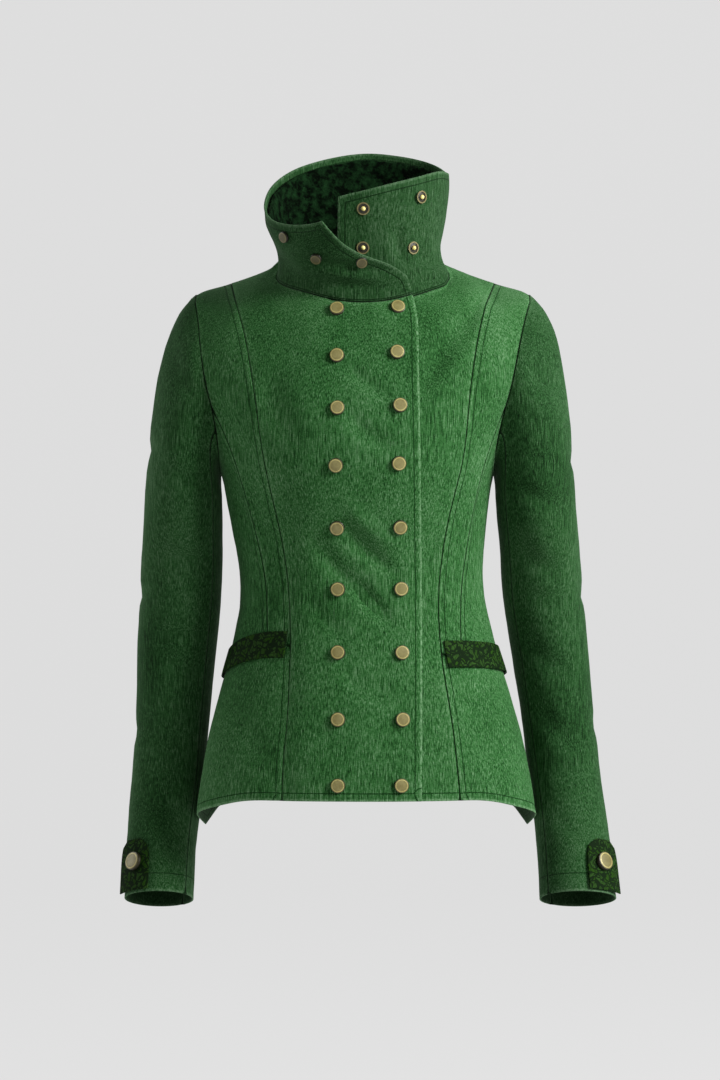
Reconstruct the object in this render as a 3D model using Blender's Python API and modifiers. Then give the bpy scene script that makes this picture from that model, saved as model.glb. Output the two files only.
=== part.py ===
"""A woman's close-fitting double-breasted jacket with a high open collar, in the shape it has when worn.

Metres, +Z up, the front to -Y and the wearer's left to +X. The origin is the middle of the neck,
level with the inner ends of the shoulders. Tables and names are in millimetres and degrees.
"Turn" is the angle round the body: 0 at the front, 90 at the wearer's left, 180 at the back.
"""

import math

import bmesh
import bpy
import numpy as np
from mathutils import Matrix, Vector
from mathutils.bvhtree import BVHTree

MM = 0.001

# Thickness of the cloth.
CLOTH = 1.6
COLLAR_CLOTH = 2.0
PILE = 4.0

# Gaps between pieces: at a seam's two edges, at the top of a panel under the collar or sleeve, at the
# top of the sleeve, and between a layer and the one that it lies on.
SEAM_GAP = 0.45
TOP_GAP = 1.4
SLEEVE_TOP_GAP = 1.5
COLLAR_LIFT = 1.6
LAP_GAP = 2.4
WELT_GAP = 1.1
TAB_GAP = 1.1
LINING_GAP = 1.9
SNAP_GAP = 0.5
COLLAR_SNAP_GAP = 0.8

CAP_RADIUS = 7.8
CAP_HEIGHT = 2.6
CUFF_CAP_RADIUS = 10.0
CUFF_CAP_HEIGHT = 3.0
STUD_RADIUS = 6.2
STUD_HEIGHT = 2.8
CAP_SIDES = 14

# The lower front's free edge, and the stretch over which the upper front rises to lie over it.
UNDER_EDGE_X = -46.0
UNDER_EDGE_TOP_Z = -36.0
LAP_STARTS_X = -86.0
LAP_FULL_X = -62.0
UPPER_EDGE_TOP_TURN = 16.5

SHOULDER_SEAM_TURN = 98.0
PRINCESS_TOP_Z = -13.0
# Heights at which the side seam's turn is read for the hem and for the pocket line.
HEM_SIDE_Z = -600.0
POCKET_SIDE_Z = -425.0
# The shares of the armhole within which its front part turns in from the shoulder and under the arm.
ARMHOLE_TOP_SHARE = 0.13
ARMHOLE_LOW_SHARE = 0.93
SIDE_SEAM_SHARE = 0.69

WELT_DEEP = 28.0
WELT_FROM_SEAM = 4.5
WELT_END_TURN = 104.0

# The cuff tabs: angle and length along the sleeve as sleeve() takes them.
TAB_ANGLE = 45.0
TAB_SPAN = 31.0
TAB_STANDS_OFF = 2.6
CUFF_CAP_ANGLE = 50.0
CUFF_CAP_LENGTH = 1.925

# The lining by its share of the collar's height, in general and at the end that laps over.
LINING_FOOT = 0.08
LINING_TOP = 0.93
OVERLAP_LINING_FOOT = 0.34
OVERLAP_LINING_TURNS = (318.0, 343.0)
LINING_END_GAP = 7.0

GREEN = (0.055, 0.135, 0.055)
DARK_GREEN = (0.012, 0.032, 0.012)
BROCADE_GREEN = (0.012, 0.026, 0.006)
BRASS = (0.50, 0.42, 0.20)


class Table:
    """Rows of numbers under named columns, read between the rows by a curve that never overshoots."""

    def __init__(self, columns, rows):
        rows = sorted(rows)
        self.keys = np.array([row[0] for row in rows], float)
        self.columns = {name: np.array([row[i + 1] for row in rows], float) for i, name in enumerate(columns)}

    def at(self, name, key):
        keys, values = self.keys, self.columns[name]
        key = np.clip(key, keys[0], keys[-1])
        step = np.diff(keys)
        rise = np.diff(values) / step
        slope = np.concatenate([rise[:1], np.zeros(len(rise) - 1), rise[-1:]])
        same = rise[:-1] * rise[1:] > 0
        slope[1:-1][same] = 2 * rise[:-1][same] * rise[1:][same] / (rise[:-1] + rise[1:])[same]
        i = np.clip(np.searchsorted(keys, key, side="right") - 1, 0, len(step) - 1)
        s = (key - keys[i]) / step[i]
        return (
            (2 * s**3 - 3 * s**2 + 1) * values[i]
            + (s**3 - 2 * s**2 + s) * step[i] * slope[i]
            + (3 * s**2 - 2 * s**3) * values[i + 1]
            + (s**3 - s**2) * step[i] * slope[i + 1]
        )


# Level cuts through the body of the jacket: (x / half_wide) ** wide_power + (y / depth) ** deep_power = 1.
BODY = Table(
    ("middle", "half_wide", "front", "back", "wide_power", "deep_power"),
    [
        (18, -6.5, 75, 24, 61, 2.0, 1.2),
        (13, -6.5, 84, 28, 64, 2.0, 1.1),
        (8, -2.5, 92, 32, 67, 2.0, 1.05),
        (1, 0, 108, 39, 74, 2.0, 1.0),
        (-7, 0, 132, 46, 80, 2.0, 1.0),
        (-15, 0, 159, 53, 86, 2.0, 1.05),
        (-23, 0, 185, 65, 91, 2.0, 1.15),
        (-40, -1, 192, 82, 97, 2.0, 1.35),
        (-60, -2, 196, 92, 102, 2.0, 1.6),
        (-85, -4, 199, 101, 106, 2.05, 1.85),
        (-120, -5, 188, 111, 109, 2.2, 2.15),
        (-150, -6, 171, 119, 107, 2.3, 2.3),
        (-182, -7, 158, 123, 103, 2.3, 2.3),
        (-215, -6, 149, 121, 98, 2.3, 2.3),
        (-246, -5.4, 143.6, 115, 93, 2.25, 2.25),
        (-276, -4.6, 138.2, 107, 87, 2.2, 2.2),
        (-307, -3, 134.5, 100, 81, 2.2, 2.2),
        (-337, -1.6, 131.2, 97, 78, 2.2, 2.2),
        (-367, 0, 133.9, 98, 80, 2.15, 2.15),
        (-397, 1, 140.4, 101, 88, 2.1, 2.1),
        (-428, 1.6, 149.6, 106, 98, 2.1, 2.1),
        (-458, 2, 157.7, 110, 108, 2.1, 2.1),
        (-503, 2, 169.6, 116, 120, 2.1, 2.1),
        (-545, 3, 177.5, 120, 129, 2.1, 2.1),
        (-600, 4, 184.5, 123, 138, 2.1, 2.1),
    ],
)
# The sides of the body move forward of the origin low down, where the seat fills the back.
SIDE_Y = Table(("y",), [(18, 0), (-26, 0), (-246, 0), (-345, 0), (-430, -8), (-503, -16), (-600, -24)])

NECKLINE = Table(
    ("z",),
    [(0, -44.5), (9, -42.5), (17, -34), (31, -21.5), (63, -2), (90, 13), (135, 16), (180, 18)],
)
HEM = Table(
    ("z",),
    [
        (0, -565),
        (40, -565),
        (58, -573),
        (76, -581),
        (92, -588),
        (101, -594),
        (109, -602),
        (118, -585),
        (127, -576),
        (140, -573),
        (180, -573),
    ],
)

# Seams by height: x on the wearer's right, which is minus here, and x on the left.
PRINCESS = Table(
    ("right", "left"),
    [
        (-600, -84, 104),
        (-545, -85, 100),
        (-480, -79.5, 93),
        (-430, -77, 84.5),
        (-400, -76, 81),
        (-360, -77, 79),
        (-310, -82, 83),
        (-260, -92.5, 92),
        (-200, -106, 107),
        (-140, -114, 112),
        (-80, -124, 121),
        (-45, -133, 129),
        (-13, -150, 148),
    ],
)
SIDE_FRONT = Table(
    ("right", "left"),
    [
        (-424, -101, 104),
        (-385, -101, 103),
        (-340, -102, 104),
        (-290, -112, 112),
        (-240, -126, 121),
        (-200, -138, 132),
        (-172, -151, 143),
        (-155, -160, 152),
    ],
)
# The line that the pocket welts lie on, by the turn.
POCKET_LINE = Table(
    ("right", "left"),
    [(45, -402, -412), (60, -408, -414), (90, -425, -421), (125, -434, -432)],
)
# Seams behind, by height, as the turn from the front.
SIDE_BACK = Table(("turn",), [(-600, 118), (-420, 112), (-340, 108), (-270, 103), (-228, 100)])
BACK_PRINCESS = Table(
    ("turn",),
    [(-600, 152), (-420, 151), (-340, 152), (-200, 146), (-100, 138), (-40, 124), (-13, 98)],
)
# The upper front's free edge by height.
UPPER_EDGE = Table(
    ("x",),
    [(-570, 61), (-470, 61.5), (-380, 61.5), (-260, 60), (-120, 58.5), (-60, 58), (-40, 51), (-28, 45)],
)

# The armhole by its share of the way down: height, x in front on each side, and the turn behind.
ARMHOLE = Table(
    ("z", "right", "left", "turn_behind"),
    [
        (0.0, -23, -185, 185, 98),
        (0.06, -28, -181, 181, 101),
        (0.13, -40, -178, 176.5, 106),
        (0.22, -60, -175.5, 171.5, 112),
        (0.38, -90, -172.5, 164.5, 119),
        (0.55, -124, -167, 158, 122),
        (0.7, -155, -160, 149.5, 121),
        (0.84, -186, -155, 142.5, 119),
        (0.95, -212, -153, 140, 113),
        (1.0, -228, -152.6, 140.6, 100),
    ],
)

# Soft drag folds in the front of the body: where, how long and wide, the lean from level, and the depth.
FRONT_FOLDS = (
    (2.0, -150.0, 40.0, 20.0, -36.0, -1.0),
    (-6.0, -312.0, 60.0, 22.0, -44.0, -1.5),
    (88.0, -85.0, 55.0, 20.0, 52.0, -1.5),
    (-138.0, -178.0, 40.0, 18.0, -50.0, -1.3),
)

# The sleeves by height: inner and outer x on each side, then their middle and half depth in y.
SLEEVE = Table(
    ("right_in", "right_out", "left_in", "left_out", "y", "half_deep"),
    [
        (-250, -151.5, -236.5, 142.6, 230.5, 3, 53),
        (-300, -151, -240, 147.5, 235, 14, 51),
        (-350, -152.5, -243.5, 150.5, 240, 25, 49),
        (-400, -158, -246, 159, 245.5, 33, 47),
        (-450, -163.5, -247, 167.5, 250, 39, 45),
        (-503, -168.5, -249.5, 175, 255, 41, 44),
        (-545, -171, -252, 180, 260, 38, 43),
        (-585, -175.5, -255.5, 185, 264, 28, 42),
        (-625, -180.5, -256.5, 188, 269, 14, 41),
        (-678, -182, -257.5, 189.5, 273.5, -9, 41),
    ],
)
SLEEVE_TILT = Table(("degrees",), [(-678, 18.5), (-625, 15), (-560, 9), (-480, 0), (-250, 0)])
SLEEVE_TOP_Z = -250.0
SLEEVE_END_Z = -678.0
TOP_SLEEVE_ARC = (-132.0, 142.0)
FOLDS_FADE_LENGTH = 0.3
CAP_FULLNESS = 0.62
# The directions in which the cap leaves the armhole, by the angle round it.
CAP_LEAVES = Table(
    ("out", "forward", "up"),
    [
        (0, 0.9, 0, -0.4),
        (90, 0.85, 0.3, -0.45),
        (180, 0.7, 0, -0.7),
        (270, 0.85, -0.3, -0.45),
        (360, 0.9, 0, -0.4),
    ],
)
# Soft creases across the sleeves: side, angle round from the outside through the front, height, then
# half the length in degrees, half the width, the slope along the crease, and the depth.
SLEEVE_FOLDS = (
    (1, 60.0, -115.0, 40.0, 15.0, 0.5, -3.0),
    (1, 75.0, -262.0, 38.0, 9.0, -0.3, -2.2),
    (1, 95.0, -335.0, 45.0, 12.0, 0.4, -2.4),
    (1, 60.0, -505.0, 48.0, 16.0, -0.4, -2.6),
    (-1, 110.0, -413.0, 50.0, 11.0, 0.1, -2.2),
    (-1, 80.0, -325.0, 44.0, 14.0, 0.3, -2.0),
    (-1, 60.0, -150.0, 44.0, 16.0, -0.4, -2.6),
    (-1, 240.0, -350.0, 60.0, 12.0, 0.2, -2.8),
    (1, 250.0, -345.0, 60.0, 12.0, -0.2, -2.8),
)

# The collar from its wearer's-left end, which lies under, round the back to its right end on top.
# Each row is a line up the collar: two points between its foot and its rim, then the rim.
COLLAR = Table(
    ("low_x", "low_y", "low_z", "high_x", "high_y", "high_z", "rim_x", "rim_y", "rim_z"),
    [
        (-9, -28, -79, 0, -27, -81, 36, -26.4, -86, 70),
        (6, 14, -79, 3, 14, -82, 42, 14, -88, 80),
        (20, 53, -66, 10, 56, -70, 50, 57, -73, 92),
        (48, 79, -38, 26, 84, -36, 62, 86, -36, 103),
        (85, 86, -5, 36, 93, -4, 70, 93.5, -2, 103),
        (130, 70, 42, 50, 77, 46, 85, 80, 50, 119),
        (180, -4, 70, 56, 0, 78, 95, 5, 88, 136),
        (226, -78, 48, 48, -79, 52, 80, -76, 54, 115),
        (275, -96, 0, 36, -101, 2, 60, -104, 4, 84),
        (304, -93, -30, 18, -102, -28, 43, -107, -27, 66),
        (332, -78, -61, 0, -94, -68, 23, -97, -76, 46),
        (349, -54, -83, -13, -70, -94, 11, -72, -108, 37.5),
        (363, -14, -90, -18, -36, -105, 6, -56, -124, 36.5),
        (376.5, 33, -92, -4, -5, -105, 8, -43, -135, 38.6),
    ],
)

# The caps in front from the top: x and z in the wearer's right column, then in the left one.
FRONT_CAPS = (
    (-27.4, -48.5, 36.7, -46.5),
    (-27.3, -98.6, 35.6, -94.9),
    (-26.8, -153.9, 38.6, -151.0),
    (-28.4, -213.8, 37.2, -211.6),
    (-27.2, -279.0, 38.7, -278.1),
    (-26.4, -343.3, 39.8, -343.0),
    (-26.3, -409.6, 40.7, -409.9),
    (-26.2, -479.3, 41.4, -479.4),
    (-26.2, -547.8, 40.0, -547.8),
)
# Turn, and share of the collar's height, under each stud and cap of the collar.
COLLAR_STUDS = ((1.0, 0.83), (22.5, 0.83), (1.0, 0.46), (20.0, 0.40))
COLLAR_CAPS = ((357.0, 0.62), (372.0, 0.53), (344.0, 0.84))
# The stud's profile, radius and height.
STUD_PROFILE = (
    (0, STUD_HEIGHT),
    (1.7, 2.5),
    (2.2, 1.0),
    (4.2, 1.3),
    (STUD_RADIUS, 0.5),
    (STUD_RADIUS, 0),
    (0, 0),
)
# Lengths along the sleeve from the cuff's edge to the tab's point, and the tab's share of its width there.
TAB_OUTLINE = ((1.995, 1.0), (1.95, 1.0), (1.905, 1.0), (1.885, 0.86), (1.868, 0.45))

# How finely the walls are divided, and how often a form that is found step by step is stepped.
BODY_ROWS = (7, 7, 7)
FRONT_COLUMNS = 10
SHOULDER_ROWS = 3
SHOULDER_COLUMNS = 2
SIDE_COLUMNS = 5
BACK_NECK_COLUMNS = 3
SLEEVE_COLUMNS = {"top": 16, "under": 5}
CAP_SHARES = (0.0, 0.12, 0.27, 0.45, 0.65, 0.83)
TUBE_SHARES = (1.0, 1.08, 1.16, 1.24, 1.33, 1.42, 1.51, 1.60, 1.69, 1.78, 1.86, 1.93, 2.0)
COLLAR_COLUMNS = 36
COLLAR_ROWS = 7
WELT_COLUMNS = 7
WELT_ROWS = 4
TAB_COLUMNS = 7
HALVINGS = 40
SETTLING_STEPS = 12
EVENING_STEPS = 400


def clear_scene():
    for obj in list(bpy.data.objects):
        bpy.data.objects.remove(obj, do_unlink=True)


def radians(degrees):
    return np.asarray(degrees, float) * math.pi / 180


def ring(turn, z):
    """A point of the smooth body before its folds."""
    across, along = np.sin(radians(turn)), np.cos(radians(turn))
    p, q = BODY.at("wide_power", z), BODY.at("deep_power", z)
    low, high = 0.5 + 0 * (across + z), 1.5 + 0 * (across + z)
    for _ in range(HALVINGS):
        reach = (low + high) / 2
        outside = (reach * np.abs(across)) ** p + (reach * np.abs(along)) ** q > 1
        low, high = np.where(outside, low, reach), np.where(outside, reach, high)
    deep = np.where(along > 0, BODY.at("front", z), BODY.at("back", z))
    side_y = SIDE_Y.at("y", z)
    deep = deep + np.where(along > 0, side_y, -side_y)
    x = BODY.at("middle", z) + BODY.at("half_wide", z) * reach * across
    y = side_y - deep * reach * along
    return np.stack([x, y, z + 0 * x], axis=-1)


def unit(vectors):
    return vectors / np.linalg.norm(vectors, axis=-1, keepdims=True)


def body_normal(turn, z):
    round_it = ring(turn + 0.5, z) - ring(turn - 0.5, z)
    up_it = ring(turn, z + 0.6) - ring(turn, z - 0.6)
    return unit(np.cross(round_it, up_it))


def fold_height(x, z, folds):
    height = 0 * x
    for at_x, at_z, half_long, half_wide, lean, deep in folds:
        along = (x - at_x) * math.cos(math.radians(lean)) + (z - at_z) * math.sin(math.radians(lean))
        across = (z - at_z) * math.cos(math.radians(lean)) - (x - at_x) * math.sin(math.radians(lean))
        height = height + deep * np.exp(-((along / half_long) ** 2) - (across / half_wide) ** 2)
    return height


def lap(x):
    """How far the upper front stands off the lower one where they overlap."""
    share = np.clip((x - LAP_STARTS_X) / (LAP_FULL_X - LAP_STARTS_X), 0, 1)
    return (CLOTH + LAP_GAP) * share**2 * (3 - 2 * share)


def body(turn, z, off=0.0, lapped=False):
    """A point of the body, moved out along its normal by off, and by the lap on the upper front."""
    turn, z = np.asarray(turn, float), np.asarray(z, float)
    point = ring(turn, z)
    in_front = np.cos(radians(turn)) > 0
    height = fold_height(point[..., 0], z, FRONT_FOLDS) * in_front + off
    if lapped:
        height = height + lap(point[..., 0]) * in_front
    return point + body_normal(turn, z) * height[..., None]


def turn_at(x, z):
    """The turn in front at which the body has this x at this height."""
    return turn_of_share((np.asarray(x, float) - BODY.at("middle", z)) / BODY.at("half_wide", z), z)


def turn_of_share(share, z):
    """The turn in front at which the body reaches this share of its half width."""
    share = np.clip(share, -0.99999, 0.99999)
    forward = (1 - np.abs(share) ** BODY.at("wide_power", z)) ** (1 / BODY.at("deep_power", z))
    return np.degrees(np.arctan2(share, forward))


def side_name(side):
    return "left" if side > 0 else "right"


def spread(start, end, count):
    return np.linspace(start, end, count + 1)


def joined(*runs):
    """Runs of (turn, z) points end to end, each starting where the last one stopped."""
    return np.concatenate([runs[0]] + [run[1:] for run in runs[1:]])


def pairs(turn, z):
    return np.stack([turn + 0 * z, z + 0 * turn], axis=-1)


def settled(step, start):
    """The value that repeating a step settles on."""
    value = start
    for _ in range(SETTLING_STEPS):
        value = step(value)
    return value


def pocket_z(side, turn):
    return POCKET_LINE.at(side_name(side), np.abs(turn))


def hem_z(turn):
    return HEM.at("z", np.abs(turn))


def neck_z(turn):
    return NECKLINE.at("z", np.abs(turn))


def level_run(start, end, count, height):
    """Points between two turns at the height that this function gives for each turn."""
    turn = spread(start, end, count)
    return pairs(turn, height(turn))


def princess_run(side, low, high, count):
    z = spread(low, high, count)
    return pairs(turn_at(PRINCESS.at(side_name(side), z), z), z)


def meeting_z(line, side):
    """The height at which a front seam meets the pocket line."""
    name = side_name(side)
    return settled(lambda z: float(pocket_z(side, turn_at(line.at(name, z), z))), float(pocket_z(side, 0)))


def princess_turn(side, height, aside=0.0):
    """The turn at which the front princess seam, moved aside, meets a line of this height."""
    name = side_name(side)

    def step(turn):
        z = height(turn)
        return float(turn_at(PRINCESS.at(name, z) + side * aside, z))

    return settled(step, 0.0)


def armhole_front(side, share):
    z = ARMHOLE.at("z", share)
    seam = turn_at(ARMHOLE.at(side_name(side), share), z)
    top = np.clip(share / ARMHOLE_TOP_SHARE, 0, 1)
    top = top * (2 - top)
    bottom = np.clip((share - ARMHOLE_LOW_SHARE) / (1 - ARMHOLE_LOW_SHARE), 0, 1) ** 2
    turn = seam * top + side * SHOULDER_SEAM_TURN * (1 - top)
    turn = turn * (1 - bottom) + side * ARMHOLE.at("turn_behind", 1.0) * bottom
    return pairs(turn, z)


def armhole_behind(side, share):
    return pairs(side * ARMHOLE.at("turn_behind", share), ARMHOLE.at("z", share))


def shoulder_run(side, high, low, count):
    z = spread(high, low, count)
    return pairs(side * SHOULDER_SEAM_TURN + 0 * z, z)


def flattened(edge, front, side):
    """Turn and height as distance across and height, as seen from the front or from behind."""
    turn, z = edge[..., 0], edge[..., 1]
    around = np.abs(turn) if front else 180 - np.abs(turn)
    sign = np.sign(turn) if front else side
    share = np.abs(ring(turn, z)[..., 0] - BODY.at("middle", z)) / BODY.at("half_wide", z)
    share = np.where(around <= 90, share, 2 - share)
    return np.stack([sign * share * BODY.at("half_wide", z), z], axis=-1)


def unflattened(points, front, side):
    across, z = points[..., 0], points[..., 1]
    share = np.abs(across) / BODY.at("half_wide", z)
    near = turn_of_share(np.minimum(share, 2 - share), z)
    around = np.where(share <= 1, near, 180 - near)
    turn = np.sign(across) * around if front else side * (180 - around)
    return np.stack([turn, z], axis=-1)


def coons_seen(left, right, bottom, top, front, side):
    """A panel filled in as it is seen from the front or from behind, with its edges kept."""
    flat = evened(coons(*(flattened(edge, front, side) for edge in (left, right, bottom, top))))
    grid = unflattened(flat, front, side)
    grid[:, 0], grid[:, -1], grid[0], grid[-1] = left, right, bottom, top
    return grid


def evened(grid):
    """The grid with its inner points spread so that no row or column crosses another."""
    for _ in range(EVENING_STEPS):
        across, up = (grid[1:-1, 2:] - grid[1:-1, :-2]) / 2, (grid[2:, 1:-1] - grid[:-2, 1:-1]) / 2
        wide, high = (across**2).sum(-1, keepdims=True), (up**2).sum(-1, keepdims=True)
        skew = (across * up).sum(-1, keepdims=True)
        corners = (grid[2:, 2:] - grid[2:, :-2] - grid[:-2, 2:] + grid[:-2, :-2]) / 4
        beside, above = grid[1:-1, 2:] + grid[1:-1, :-2], grid[2:, 1:-1] + grid[:-2, 1:-1]
        grid[1:-1, 1:-1] = (high * beside + wide * above - 2 * skew * corners) / (2 * (wide + high))
    return grid


def coons(left, right, bottom, top):
    """A grid over a four-sided panel from its four edges."""
    rows, columns = len(left), len(bottom)
    u = np.linspace(0, 1, columns)[None, :, None]
    v = np.linspace(0, 1, rows)[:, None, None]
    corners = (
        (1 - u) * (1 - v) * bottom[0] + u * (1 - v) * bottom[-1] + (1 - u) * v * top[0] + u * v * top[-1]
    )
    return (1 - v) * bottom[None] + v * top[None] + (1 - u) * left[:, None] + u * right[:, None] - corners


def draw_in(points, gaps):
    """The grid with its left, right, bottom and top edges moved in by these gaps."""
    points = points.copy()
    left, right, bottom, top = gaps
    inner = points.copy()
    for edge, beside, gap in ((0, 1, left), (-1, -2, right)):
        points[:, edge] += gap * unit(inner[:, beside] - inner[:, edge])
    inner = points.copy()
    for edge, beside, gap in ((0, 1, bottom), (-1, -2, top)):
        points[edge] += gap * unit(inner[beside] - inner[edge])
    return points


def paint(name, colour, roughness, metallic=0.0):
    material = bpy.data.materials.new(name)
    material.use_nodes = True
    shader = material.node_tree.nodes["Principled BSDF"]
    shader.inputs["Base Color"].default_value = (*colour, 1)
    shader.inputs["Roughness"].default_value = roughness
    shader.inputs["Metallic"].default_value = metallic
    material.diffuse_color = (*colour, 1)
    return material


def place(name, mesh, material, collection):
    mesh.materials.append(material)
    obj = bpy.data.objects.new(name, mesh)
    collection.objects.link(obj)
    return obj


def cloth(name, points, wall, material, collection, gaps=(SEAM_GAP,) * 4):
    """A wall of cloth inside this grid of outer points, whose columns run towards +turn and rows up."""
    points = draw_in(points, gaps)
    rows, columns = points.shape[:2]
    grid = bmesh.new()
    bmesh.ops.create_grid(grid, x_segments=columns - 1, y_segments=rows - 1, size=0.5)
    for vert in grid.verts:
        column = round((vert.co.x + 0.5) * (columns - 1))
        row = round((vert.co.y + 0.5) * (rows - 1))
        vert.co = Vector(points[row, column]) * MM
    bmesh.ops.triangulate(grid, faces=grid.faces, quad_method="SHORT_EDGE")
    for face in grid.faces:
        face.smooth = True
    mesh = bpy.data.meshes.new(name)
    grid.to_mesh(mesh)
    grid.free()
    obj = place(name, mesh, material, collection)
    solidify = obj.modifiers.new("wall", "SOLIDIFY")
    solidify.thickness = wall * MM
    solidify.offset = -1
    return obj


def seam_lines(side):
    """The lines of one side of the body, each as points of turn and height, upwards or towards the back."""
    low_rows, mid_rows, arm_rows = BODY_ROWS
    name = side_name(side)
    shoulder = side * SHOULDER_SEAM_TURN
    arm_top = float(ARMHOLE.at("z", 0.0))
    side_top = armhole_front(side, np.array([SIDE_SEAM_SHARE]))[0]
    arm_low = armhole_behind(side, np.array([1.0]))[0]

    def pocket(turn):
        return pocket_z(side, turn)

    def at_seam(table, heights):
        return pairs(side * table.at("turn", heights), heights)

    hem_turn = princess_turn(side, hem_z)
    princess_meet = meeting_z(PRINCESS, side)
    princess_low = princess_run(side, float(hem_z(hem_turn)), princess_meet, low_rows)
    princess_high = princess_run(side, princess_meet, PRINCESS_TOP_Z, mid_rows + arm_rows)
    princess_high[-1, 0] = shoulder

    z = spread(meeting_z(SIDE_FRONT, side), side_top[1], mid_rows)
    side_front = pairs(turn_at(SIDE_FRONT.at(name, z), z), z)
    side_front[-1] = side_top

    low_end, waist_turn = (float(SIDE_BACK.at("turn", z)) for z in (HEM_SIDE_Z, POCKET_SIDE_Z))
    side_pocket_z = float(pocket(waist_turn))
    side_back_low = at_seam(SIDE_BACK, spread(float(hem_z(low_end)), side_pocket_z, low_rows))
    side_back_mid = at_seam(SIDE_BACK, spread(side_pocket_z, arm_low[1], mid_rows))
    side_back_mid[-1] = arm_low
    side_back_high = armhole_behind(side, spread(1.0, 0.0, arm_rows))

    back_hem_z = float(hem_z(BACK_PRINCESS.at("turn", HEM_SIDE_Z)))
    back_low = at_seam(BACK_PRINCESS, spread(back_hem_z, side_pocket_z, low_rows))
    back_high = at_seam(BACK_PRINCESS, spread(side_pocket_z, PRINCESS_TOP_Z, mid_rows + arm_rows))
    back_high[-1, 0] = shoulder

    under_arm = armhole_front(side, spread(SIDE_SEAM_SHARE, 1.0, SIDE_COLUMNS))
    under_arm[-1] = arm_low
    pocket_front = level_run(princess_low[-1, 0], side_front[0, 0], SIDE_COLUMNS, pocket)
    pocket_side = level_run(side_front[0, 0], side * waist_turn, SIDE_COLUMNS, pocket)
    middle_low = spread(float(hem_z(180.0)), side_pocket_z, low_rows)
    middle_high = spread(side_pocket_z, float(neck_z(180.0)), mid_rows + arm_rows)
    shoulder_in = shoulder_run(side, float(neck_z(shoulder)), PRINCESS_TOP_Z, SHOULDER_COLUMNS)
    back_neck = level_run(shoulder, side * 180.0, BACK_NECK_COLUMNS, neck_z)
    return {
        "princess_low": princess_low,
        "princess_high": princess_high,
        "side_front": side_front,
        "arm_front": armhole_front(side, spread(SIDE_SEAM_SHARE, 0.0, arm_rows)),
        "side_back_low": side_back_low,
        "side_back_mid": side_back_mid,
        "side_back_high": side_back_high,
        "back_princess": joined(back_low, back_high),
        "middle": joined(pairs(side * 180.0, middle_low), pairs(side * 180.0, middle_high)),
        "pocket_front": pocket_front,
        "pocket_side": pocket_side,
        "under_arm": under_arm,
        "hem_skirt": level_run(hem_turn, side_back_low[0, 0], 2 * SIDE_COLUMNS, hem_z),
        "hem_side_back": level_run(side_back_low[0, 0], back_low[0, 0], SIDE_COLUMNS, hem_z),
        "hem_back": level_run(back_low[0, 0], side * 180.0, BACK_NECK_COLUMNS + SHOULDER_COLUMNS, hem_z),
        "shoulder_in": shoulder_in,
        "shoulder_out": shoulder_run(side, PRINCESS_TOP_Z, arm_top, SIDE_COLUMNS),
        "back_top": joined(shoulder_in[::-1], back_neck),
    }


def free_edge(side, meet_z, high_rows):
    """The edge of a front from the hem to the neckline: the left lies under and the right on top."""
    if side > 0:
        top_turn = float(turn_at(UNDER_EDGE_X, UNDER_EDGE_TOP_Z))
    else:
        top_turn = UPPER_EDGE_TOP_TURN
    top_z = float(neck_z(top_turn))
    low_z = spread(float(hem_z(0)), meet_z, BODY_ROWS[0])
    z = np.concatenate([low_z, spread(meet_z, top_z, high_rows)[1:]])
    x = np.full(len(z), UNDER_EDGE_X) if side > 0 else UPPER_EDGE.at("x", z)
    edge = pairs(turn_at(x, z), z)
    edge[-1] = top_turn, top_z
    return edge


def panel(label, side, denim, collection, near, far, bottom, top, seen=None, lapped=False):
    """A body panel from its edges, given from the front round to the back and upwards."""
    if side < 0:
        near, far, bottom, top = far, near, bottom[::-1], top[::-1]
    if seen is None:
        grid = coons(near, far, bottom, top)
    else:
        grid = coons_seen(near, far, bottom, top, seen == "front", side)
    points = body(grid[..., 0], grid[..., 1], lapped=lapped)
    gaps = (SEAM_GAP, SEAM_GAP, SEAM_GAP, TOP_GAP)
    cloth(f"{label}_{side_name(side)}", points, CLOTH, denim, collection, gaps)


def body_panels(denim, collection):
    for side in (-1, 1):
        line = seam_lines(side)
        shoulder_z = line["shoulder_in"][0, 1]
        front_shoulder = shoulder_run(side, PRINCESS_TOP_Z, shoulder_z, SHOULDER_ROWS)
        front_far = joined(line["princess_low"], line["princess_high"], front_shoulder)
        high_rows = sum(BODY_ROWS[1:]) + SHOULDER_ROWS
        edge = free_edge(side, line["princess_low"][-1, 1], high_rows)
        front_hem = level_run(edge[0, 0], front_far[0, 0], FRONT_COLUMNS, hem_z)
        front_neck = level_run(edge[-1, 0], side * SHOULDER_SEAM_TURN, FRONT_COLUMNS, neck_z)
        side_front = joined(line["side_front"], line["arm_front"])
        side_back = joined(line["side_back_low"], line["side_back_mid"], line["side_back_high"])
        side_back_top = line["shoulder_out"][::-1]
        pocket = joined(line["pocket_front"], line["pocket_side"])
        for label, near, far, bottom, top, seen in (
            ("front", edge, front_far, front_hem, front_neck, "front"),
            (
                "side_front",
                line["princess_high"],
                side_front,
                line["pocket_front"],
                line["shoulder_out"],
                "front",
            ),
            ("side", line["side_front"], line["side_back_mid"], line["pocket_side"], line["under_arm"], None),
            ("skirt", line["princess_low"], line["side_back_low"], line["hem_skirt"], pocket, None),
            ("side_back", side_back, line["back_princess"], line["hem_side_back"], side_back_top, "back"),
            ("back", line["back_princess"], line["middle"], line["hem_back"], line["back_top"], "back"),
        ):
            lapped = label == "front" and side < 0
            panel(label, side, denim, collection, near, far, bottom, top, seen, lapped)


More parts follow.
